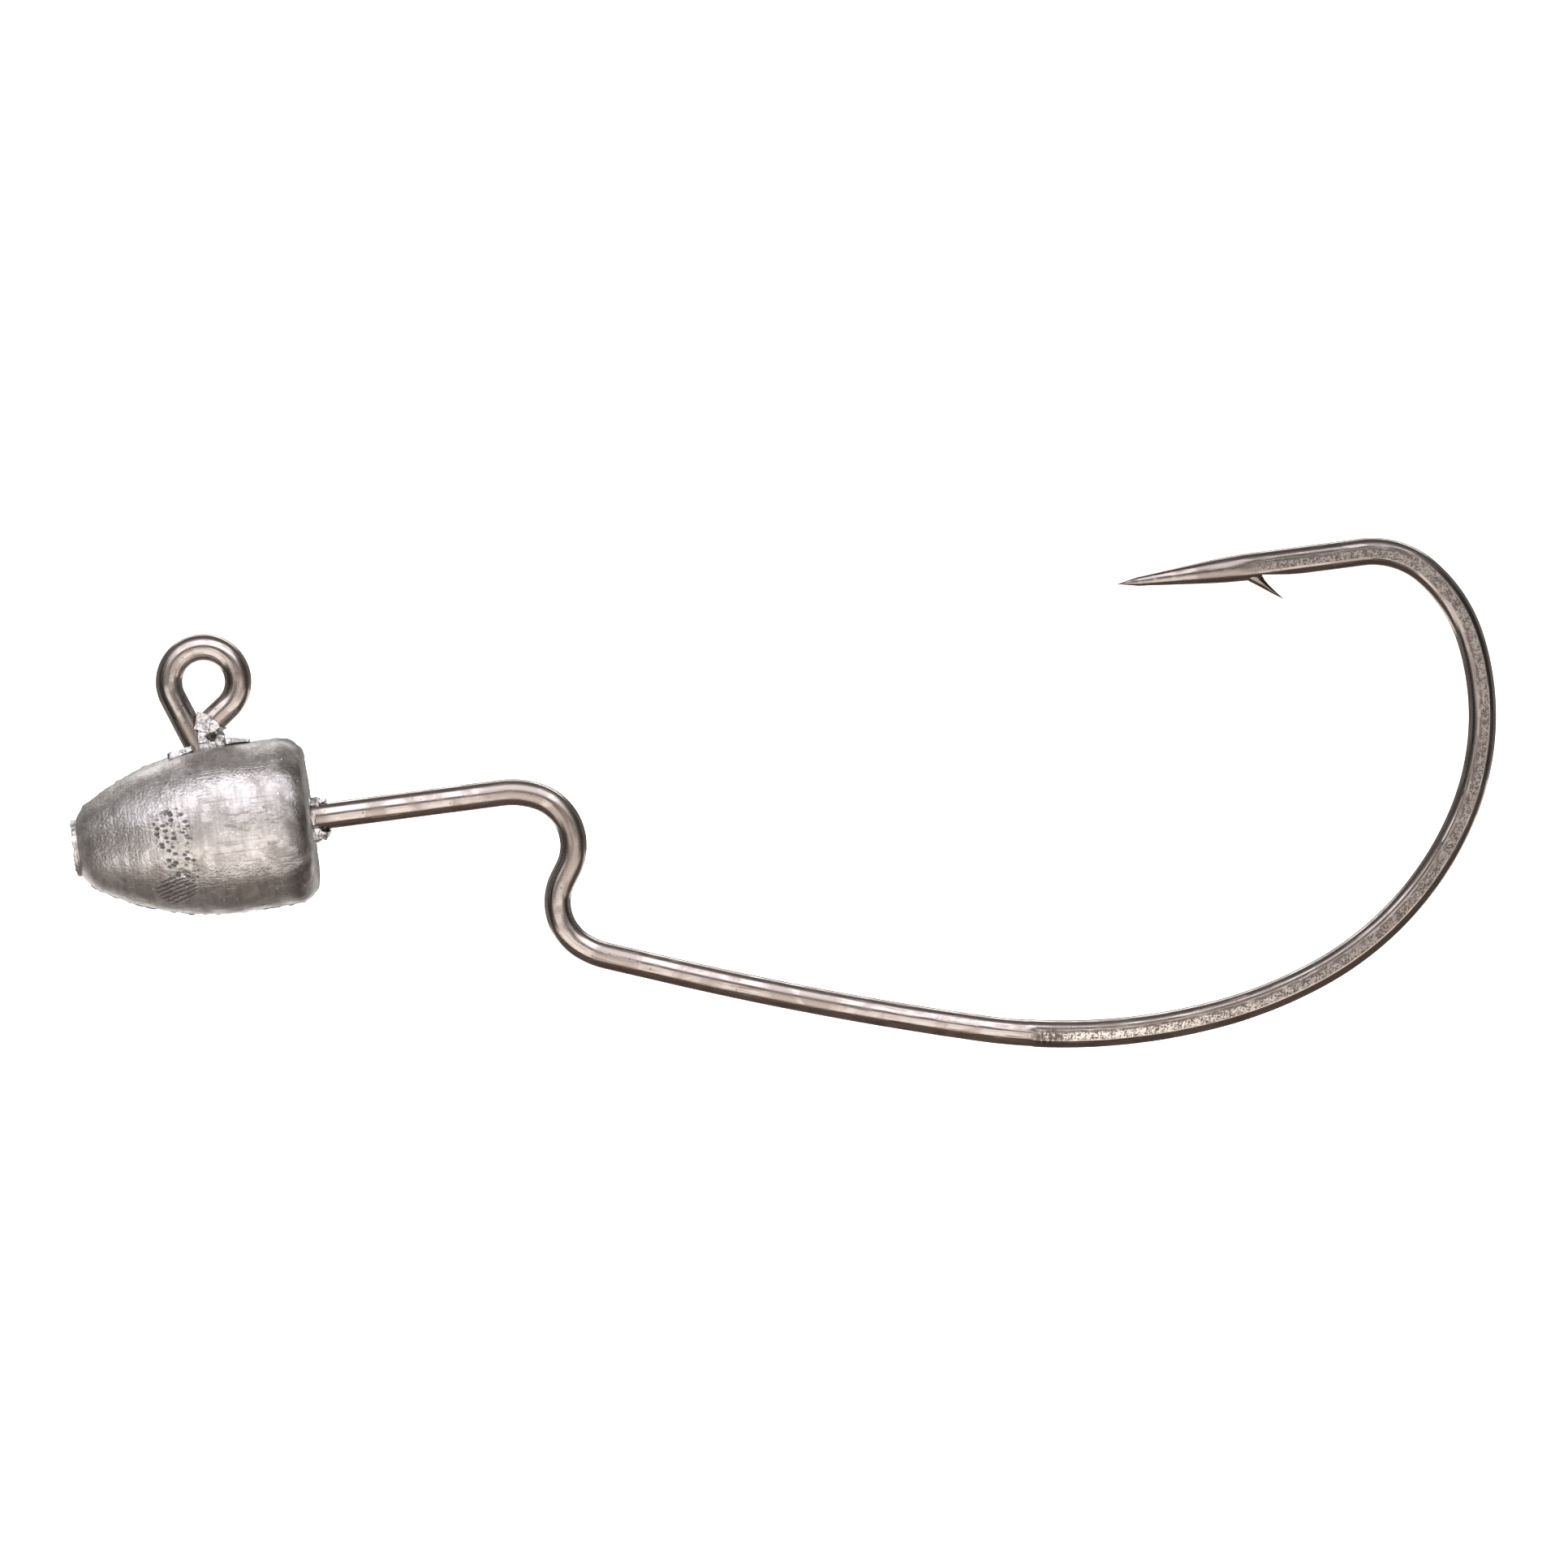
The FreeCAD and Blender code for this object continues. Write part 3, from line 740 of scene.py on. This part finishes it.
# %% [markdown]
# ## The cut gate
#
# The lead is poured in through the nose. When it is cold the gate is broken off, which leaves a low
# stub with a ragged bright rim and a rough face. The rim is the first ring extruded forwards, and the
# face is inset and pushed back a little. The next cell pulls their corners about unevenly.

# %% Break off the gate
LEAD_NOSE = min(v.co.x for v in lead.data.vertices) * 1000
# How far each ring goes back (negative is forwards), and its scale about the shank's axis.
GATE_STEPS = [(-0.03, 1.035), (0.06 - GATE_PROUD, 1.0), (-0.03, 0.985), (0.06, 0.90)]
GATE_STEPS += [(0.012, scale) for scale in (0.86, 0.83, 0.79, 0.74, 0.66, 0.5, 0.3)]

pick_corners(lead, lambda at: at.x < LEAD_NOSE + 0.02)
bpy.ops.mesh.select_mode(type="EDGE")
for back, scale in GATE_STEPS:
    extrude_ring(mm(back, 0, 0), (1, scale, scale), mm(LEAD_NOSE, 0, SHANK_Z))
bpy.ops.mesh.edge_face_add()
turn_outwards()
print("gate face at x =", round(min(v.co.x for v in lead.data.vertices) * 1000, 2), "mm")

# %% [markdown]
# ## Seam, lumps and pits
#
# The two halves of the mould close on the plane of the hook, and a little lead creeps between them: a
# fine ragged ridge along the top and the bottom. Cold lead also shrinks unevenly and traps gas. Each of
# these is a Displace modifier on a group of corners: the group says where, its texture says how.

# %% Weathering the casting


def smooth_step(values, low, high):
    """0 below low, 1 above high, and a soft change between."""
    share = np.clip((values - low) / (high - low), 0, 1)
    return share * share * (3 - 2 * share)


def patch(places, centre, radii):
    """1 at the centre of an oval patch, falling softly to 0 at its edge."""
    distance = np.sqrt((((places - np.array(centre)) / np.array(radii)) ** 2).sum(axis=1))
    return 1 - smooth_step(distance, 0.45, 1.0)


def paint_group(piece, name, weights):
    """A vertex group with a weight for each corner."""
    group = piece.vertex_groups.new(name=name)
    for index, weight in enumerate(weights):
        if weight > 0.01:
            group.add([index], float(weight), "REPLACE")
    return group


def rough_up(piece, name, kind, scale, strength, group="", middle=0.5, **settings):
    """Moves the surface in and out by a solid texture."""
    texture = bpy.data.textures.new(name, kind)
    texture.noise_scale = mm(scale)
    for setting, value in settings.items():
        setattr(texture, setting, value)
    apply_modifier(
        piece, "DISPLACE", texture=texture, texture_coords="LOCAL", strength=mm(strength),
        mid_level=middle, vertex_group=group,
    )


PIT_PATCHES = [
    ((-2.45, -3.6, -7.6), (1.5, 3.0, 1.7)), ((-2.2, -3.6, -9.6), (1.2, 3.0, 1.6)),
    ((2.3, 3.6, -6.6), (1.6, 3.0, 1.6)), ((-1.2, 3.4, -9.2), (1.4, 3.0, 1.6)),
]
RIBBED_PATCH = ((-2.7, -3.0, -10.7), (1.5, 2.6, 1.0))

places = corners_of(lead)
shank_gap = np.hypot(places[:, 1], places[:, 2] - SHANK_Z)
seam = np.exp(-((places[:, 1] / 0.045) ** 2)) * smooth_step(shank_gap, 1.2, 2.2)
pitted = np.max([patch(places, *spot) for spot in PIT_PATCHES], axis=0)
ribbed = patch(places, *RIBBED_PATCH)
rim = np.exp(-(((shank_gap - GATE_RADIUS) / 0.12) ** 2)) * (places[:, 0] < LEAD_NOSE - 0.05)
gate_face = (shank_gap < GATE_RADIUS - 0.1) * (places[:, 0] < LEAD_NOSE + 0.1)
for name, weights in [
    ("seam", seam), ("pits", pitted), ("ribs", ribbed), ("gate_rim", rim), ("gate_face", gate_face),
]:
    paint_group(lead, name, weights)
rough_up(lead, "uneven", "CLOUDS", 1.6, 0.07, noise_depth=1)
rough_up(lead, "hammered", "CLOUDS", 0.35, 0.02, noise_depth=2)
rough_up(lead, "pits", "VORONOI", 0.32, 0.11, "pits", middle=0.75)
rough_up(lead, "ribs", "WOOD", 0.30, 0.05, "ribs", wood_type="BANDNOISE", turbulence=2.0)
rough_up(lead, "seam_ridge", "CLOUDS", 0.30, 0.16, "seam", middle=0.25, noise_depth=2)
rough_up(lead, "torn_rim", "CLOUDS", 0.30, 0.16, "gate_rim", middle=0.55, noise_depth=2)
rough_up(lead, "torn_face", "CLOUDS", 0.22, 0.14, "gate_face", middle=0.6, noise_depth=2)
only(lead)
bpy.ops.object.shade_smooth()
low, high = places.min(axis=0), places.max(axis=0)
print("casting from", low.round(2), "to", high.round(2), "mm")

# %% [markdown]
# ## Flash
#
# Where the hook leaves the mould the fit is never tight, and thin lead freezes there in crumpled
# scraps: one between the leg and the cut end of the eye, one above and one below the shank. Torn
# metal has no tidy form, so each scrap is a few blocks, melted together by a remesh and crumpled by two
# textures of different size, then thinned out into flat facets like creased foil.

# %% Crumpled scraps
KEPT_FACES = 0.13


def crumpled(name, blocks, grain, seed, bite=0.16):
    """A scrap of torn lead from blocks of (centre, size, turn about Y), in millimetres."""
    chance = random.Random(seed)
    nothing_selected()
    made = []
    for centre, size, turn in blocks:
        bpy.ops.mesh.primitive_cube_add(size=1, location=mm(*centre))
        block = bpy.context.object
        block.scale = mm(*size)
        block.rotation_euler = (
            math.radians(chance.uniform(-14, 14)), math.radians(turn), math.radians(chance.uniform(-14, 14))
        )
        made.append(block)
    for block in made:
        block.select_set(True)
    bpy.context.view_layer.objects.active = made[0]
    bpy.ops.object.join()
    scrap = settle(bpy.context.object, name)
    scrap.data.remesh_voxel_size = mm(grain)
    bpy.ops.object.voxel_remesh()
    rough_up(scrap, name + "_folds", "VORONOI", 0.70, bite * 1.3, middle=0.55, distance_metric="DISTANCE")
    rough_up(scrap, name + "_tears", "CLOUDS", 0.22, bite * 0.5, noise_depth=1)
    apply_modifier(scrap, "DECIMATE", ratio=KEPT_FACES)
    bpy.ops.object.shade_smooth_by_angle(angle=math.radians(16))
    print(name, triangles(scrap), "triangles")
    return scrap


EYE_FLASH_BLOCKS = [
    ((-0.18, -0.10, -2.18), (0.78, 1.45, 0.92), 20), ((0.28, -0.14, -2.40), (0.74, 1.40, 0.70), -28),
    ((-0.24, -0.08, -2.90), (0.70, 1.45, 0.90), 8), ((0.36, -0.05, -2.96), (0.56, 1.25, 0.56), 30),
    ((-0.10, -0.05, -3.45), (0.90, 1.50, 0.60), 0), ((0.42, -0.10, -3.40), (0.62, 0.90, 0.40), -20),
    ((-1.50, -0.45, -3.60), (1.30, 1.10, 0.30), -12), ((1.35, -0.35, -3.32), (1.30, 0.80, 0.24), 3),
]
SHANK_FLASH_BLOCKS = [
    ((4.90, 0.0, -6.95), (0.62, 0.70, 0.46), 10), ((5.28, 0.05, -6.98), (0.60, 0.42, 0.26), -8),
    ((4.86, -0.1, -8.72), (0.52, 0.90, 0.60), 0), ((5.22, -0.12, -8.72), (0.60, 0.66, 0.44), 18),
    ((4.80, -0.72, -7.80), (0.26, 0.30, 0.90), 0), ((4.80, 0.72, -7.70), (0.26, 0.30, 1.00), 0),
]
eye_flash = crumpled("eye_flash", EYE_FLASH_BLOCKS, 0.055, 4)
shank_flash = crumpled("shank_flash", SHANK_FLASH_BLOCKS, 0.050, 9)


def press_in(piece, centre, radii, depth):
    """A gas hole: the corners near its centre are pushed in along their normals."""
    paint_group(piece, "gas_hole", patch(corners_of(piece), centre, radii))
    apply_modifier(piece, "DISPLACE", vertex_group="gas_hole", mid_level=0.0, strength=mm(-depth))


press_in(eye_flash, (0.10, -0.78, -2.93), (0.34, 0.60, 0.22), 0.50)

for piece in (lead, eye_flash, shank_flash):
    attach(piece, "root")
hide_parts("lead_head")

# %% [markdown]
# ## Node helpers
#
# A shader can be joined up by hand in the editor, but two long ones are easier to read as sums. Each
# helper adds one node with its inputs and returns its output, so that they nest like a formula.
# `arrange` lays the finished nodes out in columns, for whoever opens the file.

# %% Node helpers


def add_node(tree, kind, inputs=(), **settings):
    """Adds a node and returns its outputs; each input is wired, or typed in if it is a plain value."""
    node = tree.nodes.new(kind)
    for name, value in settings.items():
        setattr(node, name, value)
    for socket, value in dict(inputs).items():
        if hasattr(value, "is_output"):
            tree.links.new(value, node.inputs[socket])
        else:
            node.inputs[socket].default_value = value
    return node.outputs


def math_node(tree, operation, first, second=0.0, clamp=False):
    inputs = {0: first, 1: second}
    return add_node(tree, "ShaderNodeMath", inputs, operation=operation, use_clamp=clamp)[0]


def times(tree, first, second):
    return math_node(tree, "MULTIPLY", first, second)


def axes_of(tree, vector):
    """The three numbers of a vector."""
    return add_node(tree, "ShaderNodeSeparateXYZ", {0: vector})


def ramp(tree, source, low, high, start=0.0, end=1.0):
    """Spreads low..high over start..end, smoothly and with nothing beyond."""
    inputs = {"Value": source, "From Min": low, "From Max": high, "To Min": start, "To Max": end}
    return add_node(tree, "ShaderNodeMapRange", inputs, interpolation_type="SMOOTHSTEP")["Result"]


def blend(tree, share, first, second):
    """Mixes two colours."""
    return add_node(tree, "ShaderNodeMix", {0: share, 6: first, 7: second}, data_type="RGBA")[2]


def blend_value(tree, share, first, second):
    """Mixes two numbers."""
    return add_node(tree, "ShaderNodeMix", {0: share, 2: first, 3: second}, data_type="FLOAT")[0]


def paint_over(tree, colour, layers):
    """Lays paints over a colour: (mask, strength, paint) each, the last one on top."""
    for mask, strength, paint in layers:
        colour = blend(tree, times(tree, mask, strength), colour, (*paint, 1))
    return colour


def noise(tree, vector, scale, detail, distortion=0.0):
    inputs = {"Vector": vector, "Scale": scale, "Detail": detail, "Distortion": distortion}
    return add_node(tree, "ShaderNodeTexNoise", inputs)[0]


def stretch(tree, vector, scale=(1, 1, 1), shift=(0, 0, 0), lean=0.0):
    """Scales and shifts the coordinates of a pattern, and turns them about Y by some degrees."""
    turn = (0, math.radians(lean), 0)
    inputs = {"Vector": vector, "Location": shift, "Rotation": turn, "Scale": scale}
    return add_node(tree, "ShaderNodeMapping", inputs)[0]


def arrange(tree):
    """Puts each node in a column to the right of all that feeds it."""
    column = {node.name: 0 for node in tree.nodes}
    links = [(link.from_node.name, link.to_node.name) for link in tree.links]
    for _ in column:
        for source, target in links:
            column[target] = max(column[target], column[source] + 1)
    filled = {}
    for node in tree.nodes:
        place = column[node.name]
        filled[place] = filled.get(place, 0) + 1
        node.location = (place * 200, filled[place] * -240)


print("node helpers are ready")

# %% [markdown]
# ## Shared effects
#
# Both metals share four effects: a fine grain, lines stretched along one direction, small specks and
# soft tarnish. Each is a node group, built once. A group only gives a mask from 0 to 1; the material
# decides what the mask does to colour, roughness and height.

# %% Shared effects


def new_group(name, numbers):
    """A shader group with a Vector and some numbers in, and one Mask out."""
    group = bpy.data.node_groups.new(name, "ShaderNodeTree")
    group.interface.new_socket("Vector", in_out="INPUT", socket_type="NodeSocketVector")
    for socket_name, value in numbers.items():
        socket = group.interface.new_socket(socket_name, in_out="INPUT", socket_type="NodeSocketFloat")
        socket.default_value = value
    group.interface.new_socket("Mask", in_out="OUTPUT", socket_type="NodeSocketFloat")
    return group, add_node(group, "NodeGroupInput")


def finish_group(group, mask):
    add_node(group, "NodeGroupOutput", {"Mask": mask})
    arrange(group)
    return group


def use_group(tree, group, vector, **numbers):
    return add_node(tree, "ShaderNodeGroup", {"Vector": vector, **numbers}, node_tree=group)["Mask"]


def make_sandy_grain():
    """Two sizes of noise, with the contrast turned up."""
    group, given = new_group("sandy_grain", {"Scale": 8.0, "Contrast": 0.2})
    fine = noise(group, given["Vector"], given["Scale"], 3.0)
    coarse = noise(group, given["Vector"], times(group, given["Scale"], 0.37), 2.0)
    both = math_node(group, "ADD", times(group, fine, 0.65), times(group, coarse, 0.35))
    low = math_node(group, "SUBTRACT", 0.5, given["Contrast"])
    high = math_node(group, "ADD", 0.5, given["Contrast"])
    return finish_group(group, ramp(group, both, low, high))


def make_drawn_lines():
    """Fine lines along the first axis: very stretched noise, thinned out by a slower one."""
    group, given = new_group("drawn_lines", {"Density": 12.0, "Amount": 0.5})
    scales = {0: 0.25, 1: given["Density"], 2: given["Density"]}
    inputs = {0: given["Vector"], 1: add_node(group, "ShaderNodeCombineXYZ", scales)[0]}
    narrow = add_node(group, "ShaderNodeVectorMath", inputs, operation="MULTIPLY")[0]
    thin = ramp(group, noise(group, narrow, 1.0, 3.0), 0.52, 0.72)
    broken = ramp(group, noise(group, given["Vector"], 0.8, 2.0), 0.38, 0.60)
    kept = times(group, thin, broken)
    return finish_group(group, math_node(group, "MULTIPLY", kept, given["Amount"], clamp=True))


def make_specks():
    """Separate specks: the middles of random cells, and only some of the cells."""
    group, given = new_group("specks", {"Scale": 3.0, "Size": 0.18, "Amount": 0.4})
    inputs = {"Vector": given["Vector"], "Scale": given["Scale"]}
    cells = add_node(group, "ShaderNodeTexVoronoi", inputs)
    half = times(group, given["Size"], 0.5)
    dots = ramp(group, cells["Distance"], half, given["Size"], start=1.0, end=0.0)
    pick = add_node(group, "ShaderNodeSeparateColor", {0: cells["Color"]})[0]
    chosen = math_node(group, "LESS_THAN", pick, given["Amount"])
    return finish_group(group, times(group, dots, chosen))


def make_tarnish():
    """Clouds with feathered edges."""
    group, given = new_group("tarnish", {"Scale": 0.5, "Cover": 0.5})
    clouds = noise(group, given["Vector"], given["Scale"], 5.0, distortion=0.6)
    low = math_node(group, "SUBTRACT", 0.80, given["Cover"])
    high = math_node(group, "ADD", low, 0.16)
    return finish_group(group, ramp(group, clouds, low, high))


sandy_grain = make_sandy_grain()
drawn_lines = make_drawn_lines()
specks = make_specks()
tarnish = make_tarnish()
print("shared effects:", [group.name for group in bpy.data.node_groups])

# %% [markdown]
# ## Black nickel
#
# The plate is a thin dark metal, so it keeps every line the wire drawing left: fine lines run along the
# wire wherever it goes, which is what the straightened coordinates are for. The hammered flats
# lost their gloss and look sandy, with a dark broken line along one edge. The coordinates are in
# millimetres along, across and through the wire, from the cut end of the eye.

# %% Black nickel
# Where the painted shade on the wire fades in, in millimetres along it.
PAINTED_SHADE_FADES_IN = (68.0, 86.0)
SIDES_SWAP = (104.0, 110.0)
GRINDING = (116.0, 117.5)


def new_material(name):
    finish = bpy.data.materials.new(name)
    finish.use_nodes = True
    return finish, finish.node_tree


def read_numbers(tree, name, output="Fac"):
    return add_node(tree, "ShaderNodeAttribute", attribute_name=name)[output]


def finish_material(tree, colour, shine, metal, height, strength, depth):
    """Wires the results into the shader; the bump is as deep as told, in millimetres."""
    inputs = {"Strength": strength, "Distance": mm(depth), "Height": height}
    normal = add_node(tree, "ShaderNodeBump", inputs)[0]
    results = {"Base Color": colour, "Roughness": shine, "Metallic": metal, "Normal": normal}
    for socket, value in results.items():
        tree.links.new(value, tree.nodes["Principled BSDF"].inputs[socket])
    arrange(tree)


def make_black_nickel():
    finish, tree = new_material("black_nickel")
    wire = read_numbers(tree, "straight_wire", "Vector")
    along, across, _ = axes_of(tree, wire)

    # The struck flats face sideways. Sand is painted only on their lower strip, and the upper strip stays
    # glossy wire because the top light's highlight lies along it; the strip swaps sides in the straightened
    # coordinates at the bend.
    normal = add_node(tree, "ShaderNodeNewGeometry")["Normal"]
    facing = math_node(tree, "ABSOLUTE", axes_of(tree, normal)[1])
    pressed = times(tree, ramp(tree, facing, 0.982, 0.997), read_numbers(tree, "struck"))
    lower = times(tree, across, ramp(tree, along, *SIDES_SWAP, start=1.0, end=-1.0))
    flat = times(tree, pressed, ramp(tree, lower, 0.07, 0.16, start=1.0, end=0.0))
    ground = ramp(tree, along, *GRINDING)

    fine = use_group(tree, drawn_lines, wire, Density=15.0, Amount=0.9)
    dark = use_group(tree, drawn_lines, stretch(tree, wire, shift=(31, 7, 5)), Density=4.2, Amount=1.0)
    smoky = use_group(tree, tarnish, wire, Scale=0.45, Cover=0.36)
    freckles = use_group(tree, specks, wire, Scale=2.6, Size=0.20, Amount=0.22)
    sand = use_group(tree, sandy_grain, wire, Scale=11.0, Contrast=0.10)

    # The dark broken line wanders along the edge of the sandy strip, and along the ground point.
    wander = ramp(tree, noise(tree, wire, 1.3, 3.0), 0.2, 0.8, start=0.07, end=0.17)
    wander = blend_value(tree, ground, wander, 0.03)
    gap = math_node(tree, "ABSOLUTE", math_node(tree, "SUBTRACT", lower, wander))
    edge = ramp(tree, gap, 0.03, 0.10, start=1.0, end=0.0)
    edge = times(tree, edge, math_node(tree, "MAXIMUM", pressed, ground))
    edge = times(tree, edge, ramp(tree, noise(tree, wire, 2.6, 2.0), 0.40, 0.52))
    bites = ramp(tree, noise(tree, stretch(tree, wire, (5.0, 1.5, 1.5)), 1.4, 3.0), 0.42, 0.56)
    bites = times(tree, bites, read_numbers(tree, "tool_mark"))

    # Painted shade: from 68 mm along the wire onwards, round the bend and up the point, the wire and its
    # sandy flats are painted darker.
    shade = ramp(tree, along, *PAINTED_SHADE_FADES_IN, end=0.72)
    sandy = blend(tree, sand, (0.10, 0.085, 0.075, 1), (0.78, 0.71, 0.65, 1))
    sandy = blend(tree, shade, sandy, (0.07, 0.06, 0.055, 1))
    colour = blend(tree, smoky, (0.350, 0.317, 0.298, 1), (0.24, 0.208, 0.19, 1))
    colour = paint_over(tree, colour, [
        (fine, 0.55, (0.49, 0.452, 0.435)),
        (dark, 0.90, (0.13, 0.10, 0.085)),
        (freckles, 0.55, (0.07, 0.055, 0.05)),
        (shade, 0.45, (0.10, 0.085, 0.08)),
    ])
    colour = paint_over(tree, blend(tree, flat, colour, sandy), [
        (edge, 0.75, (0.05, 0.035, 0.03)),
        (bites, 0.85, (0.06, 0.045, 0.04)),
        (read_numbers(tree, "smoked"), 0.75, (0.11, 0.09, 0.08)),
    ])

    shine = blend_value(tree, smoky, 0.15, 0.27)
    shine = math_node(tree, "ADD", shine, times(tree, fine, 0.12))
    shine = blend_value(tree, flat, shine, 0.50)
    metal = blend_value(tree, edge, 1.0, 0.4)
    height = times(tree, math_node(tree, "SUBTRACT", fine, dark), 0.35)
    height = math_node(tree, "ADD", height, times(tree, sand, flat))
    finish_material(tree, colour, shine, metal, height, strength=0.35, depth=0.02)
    return finish


places = np.abs(corners_of(hook))
add_numbers(hook, "tool_mark", "FLOAT", patch(places, (41.4, 0.66, 24.15), (1.25, 0.55, 0.50)))
add_numbers(hook, "smoked", "FLOAT", patch(places, (55.9, 0.0, 2.75), (1.5, 1.5, 1.1)))
black_nickel = make_black_nickel()
hook.data.materials.clear()
hook.data.materials.append(black_nickel)
print("black nickel:", len(black_nickel.node_tree.nodes), "nodes")

# %% [markdown]
# ## Cast lead
#
# Lead comes out of the mould bright and dulls in days to a soft grey, darkest where it was handled
# or where the metal froze early. The turned cavity leaves rings round the nose. The pits and the flow
# ripples are painted dark inside as shade, a band before the rear edge is painted darker, and torn
# lead (the flash and the gate) is bright and crystalline. Each corner carries how pitted, rippled or
# torn the lead is there.

# %% Cast lead
SMUDGES = [((1.9, -4.2, -7.4), (2.2, 2.5, 0.9)), ((3.2, -4.2, -9.3), (1.2, 2.5, 0.8))]

places = corners_of(lead)
smudged = np.max([patch(places, *spot) for spot in SMUDGES], axis=0)
gate = places[:, 0] < LEAD_NOSE - 0.02
for name, values in (("pitted", pitted), ("rippled", ribbed), ("smudged", smudged), ("torn", 0.5 * gate)):
    add_numbers(lead, name, "FLOAT", values)
for piece in (eye_flash, shank_flash):
    add_numbers(piece, "torn", "FLOAT", np.ones(len(piece.data.vertices)))


def make_cast_lead():
    finish, tree = new_material("dull_cast_lead")
    place = stretch(tree, add_node(tree, "ShaderNodeTexCoord")["Object"], (1000, 1000, 1000))

    rings = ramp(tree, noise(tree, stretch(tree, place, (7.0, 0.55, 0.55)), 1.0, 5.0), 0.36, 0.64)
    scratches = use_group(tree, drawn_lines, place, Density=9.0, Amount=0.8)
    dull = use_group(tree, tarnish, place, Scale=0.50, Cover=0.34)
    cloudy = use_group(tree, tarnish, stretch(tree, place, shift=(9, 4, 2)), Scale=1.4, Cover=0.34)
    bright = use_group(tree, specks, place, Scale=2.8, Size=0.16, Amount=0.20)
    dirt = use_group(
        tree, specks, stretch(tree, place, shift=(3, 8, 5)), Scale=2.2, Size=0.22, Amount=0.16
    )
    sand = use_group(tree, sandy_grain, place, Scale=7.0, Contrast=0.16)

    # Pits are the middles of cells, the flow ripples are bands that lean a little.
    inputs = {"Vector": stretch(tree, place, (1.0, 1.0, 1.5)), "Scale": 2.6}
    cells = add_node(tree, "ShaderNodeTexVoronoi", inputs)
    pit = ramp(tree, cells["Distance"], 0.20, 0.52, start=1.0, end=0.0)
    pit = times(tree, pit, ramp(tree, read_numbers(tree, "pitted"), 0.25, 0.75))
    leaning = stretch(tree, place, lean=14)
    inputs = {"Vector": leaning, "Scale": 1.55, "Distortion": 2.6, "Detail Scale": 2.4}
    bands = add_node(tree, "ShaderNodeTexWave", inputs, wave_type="BANDS", bands_direction="Z")
    ripple = ramp(tree, bands["Fac"], 0.35, 0.8)
    ripple = times(tree, ripple, ramp(tree, read_numbers(tree, "rippled"), 0.2, 0.7))
    # Painted shade: the pits and the grooves of the flow ripples are painted nearly black, as shade inside
    # the hollows.
    hollow_and_shade = math_node(tree, "MAXIMUM", pit, ripple)

    # A cracked grey smudge on the side, and a band painted darker before the rear edge.
    smudge = noise(tree, stretch(tree, place, (0.9, 1, 2.6)), 1.6, 4.0, distortion=0.9)
    smudge = ramp(tree, smudge, 0.50, 0.60)
    smudge = times(tree, smudge, ramp(tree, read_numbers(tree, "smudged"), 0.1, 0.6))
    x = axes_of(tree, place)[0]
    band = times(tree, ramp(tree, x, 2.95, 3.75), ramp(tree, x, 4.50, 4.66, start=1.0, end=0.0))
    band = times(tree, band, ramp(tree, noise(tree, place, 0.9, 3.0), 0.25, 0.60))

    colour = blend(tree, rings, (0.335, 0.321, 0.311, 1), (0.41, 0.395, 0.385, 1))
    colour = paint_over(tree, colour, [
        (dull, 0.65, (0.27, 0.25, 0.235)),
        (cloudy, 0.55, (0.54, 0.527, 0.522)),
        (scratches, 0.45, (0.22, 0.20, 0.19)),
        (hollow_and_shade, 0.84, (0.055, 0.052, 0.05)),
        (smudge, 0.60, (0.17, 0.165, 0.16)),
        (band, 0.88, (0.10, 0.095, 0.09)),
        (dirt, 0.6, (0.11, 0.10, 0.095)),
        (bright, 0.75, (0.92, 0.91, 0.90)),
    ])
    crystal = blend(tree, sand, (0.22, 0.21, 0.205, 1), (0.66, 0.65, 0.645, 1))
    colour = blend(tree, read_numbers(tree, "torn"), colour, crystal)

    shine = blend_value(tree, dull, 0.36, 0.54)
    shine = blend_value(tree, hollow_and_shade, shine, 0.60)
    shine = blend_value(tree, sand, shine, 0.42)
    metal = blend_value(tree, hollow_and_shade, 0.97, 0.85)
    height = times(tree, rings, 0.15)
    for mask, amount in ((sand, 0.45), (scratches, -0.5), (hollow_and_shade, -1.6)):
        height = math_node(tree, "ADD", height, times(tree, mask, amount))
    finish_material(tree, colour, shine, metal, height, strength=0.55, depth=0.05)
    return finish


cast_lead = make_cast_lead()
for piece in (lead, eye_flash, shank_flash):
    piece.data.materials.clear()
    piece.data.materials.append(cast_lead)
print("cast lead:", len(cast_lead.node_tree.nodes), "nodes")
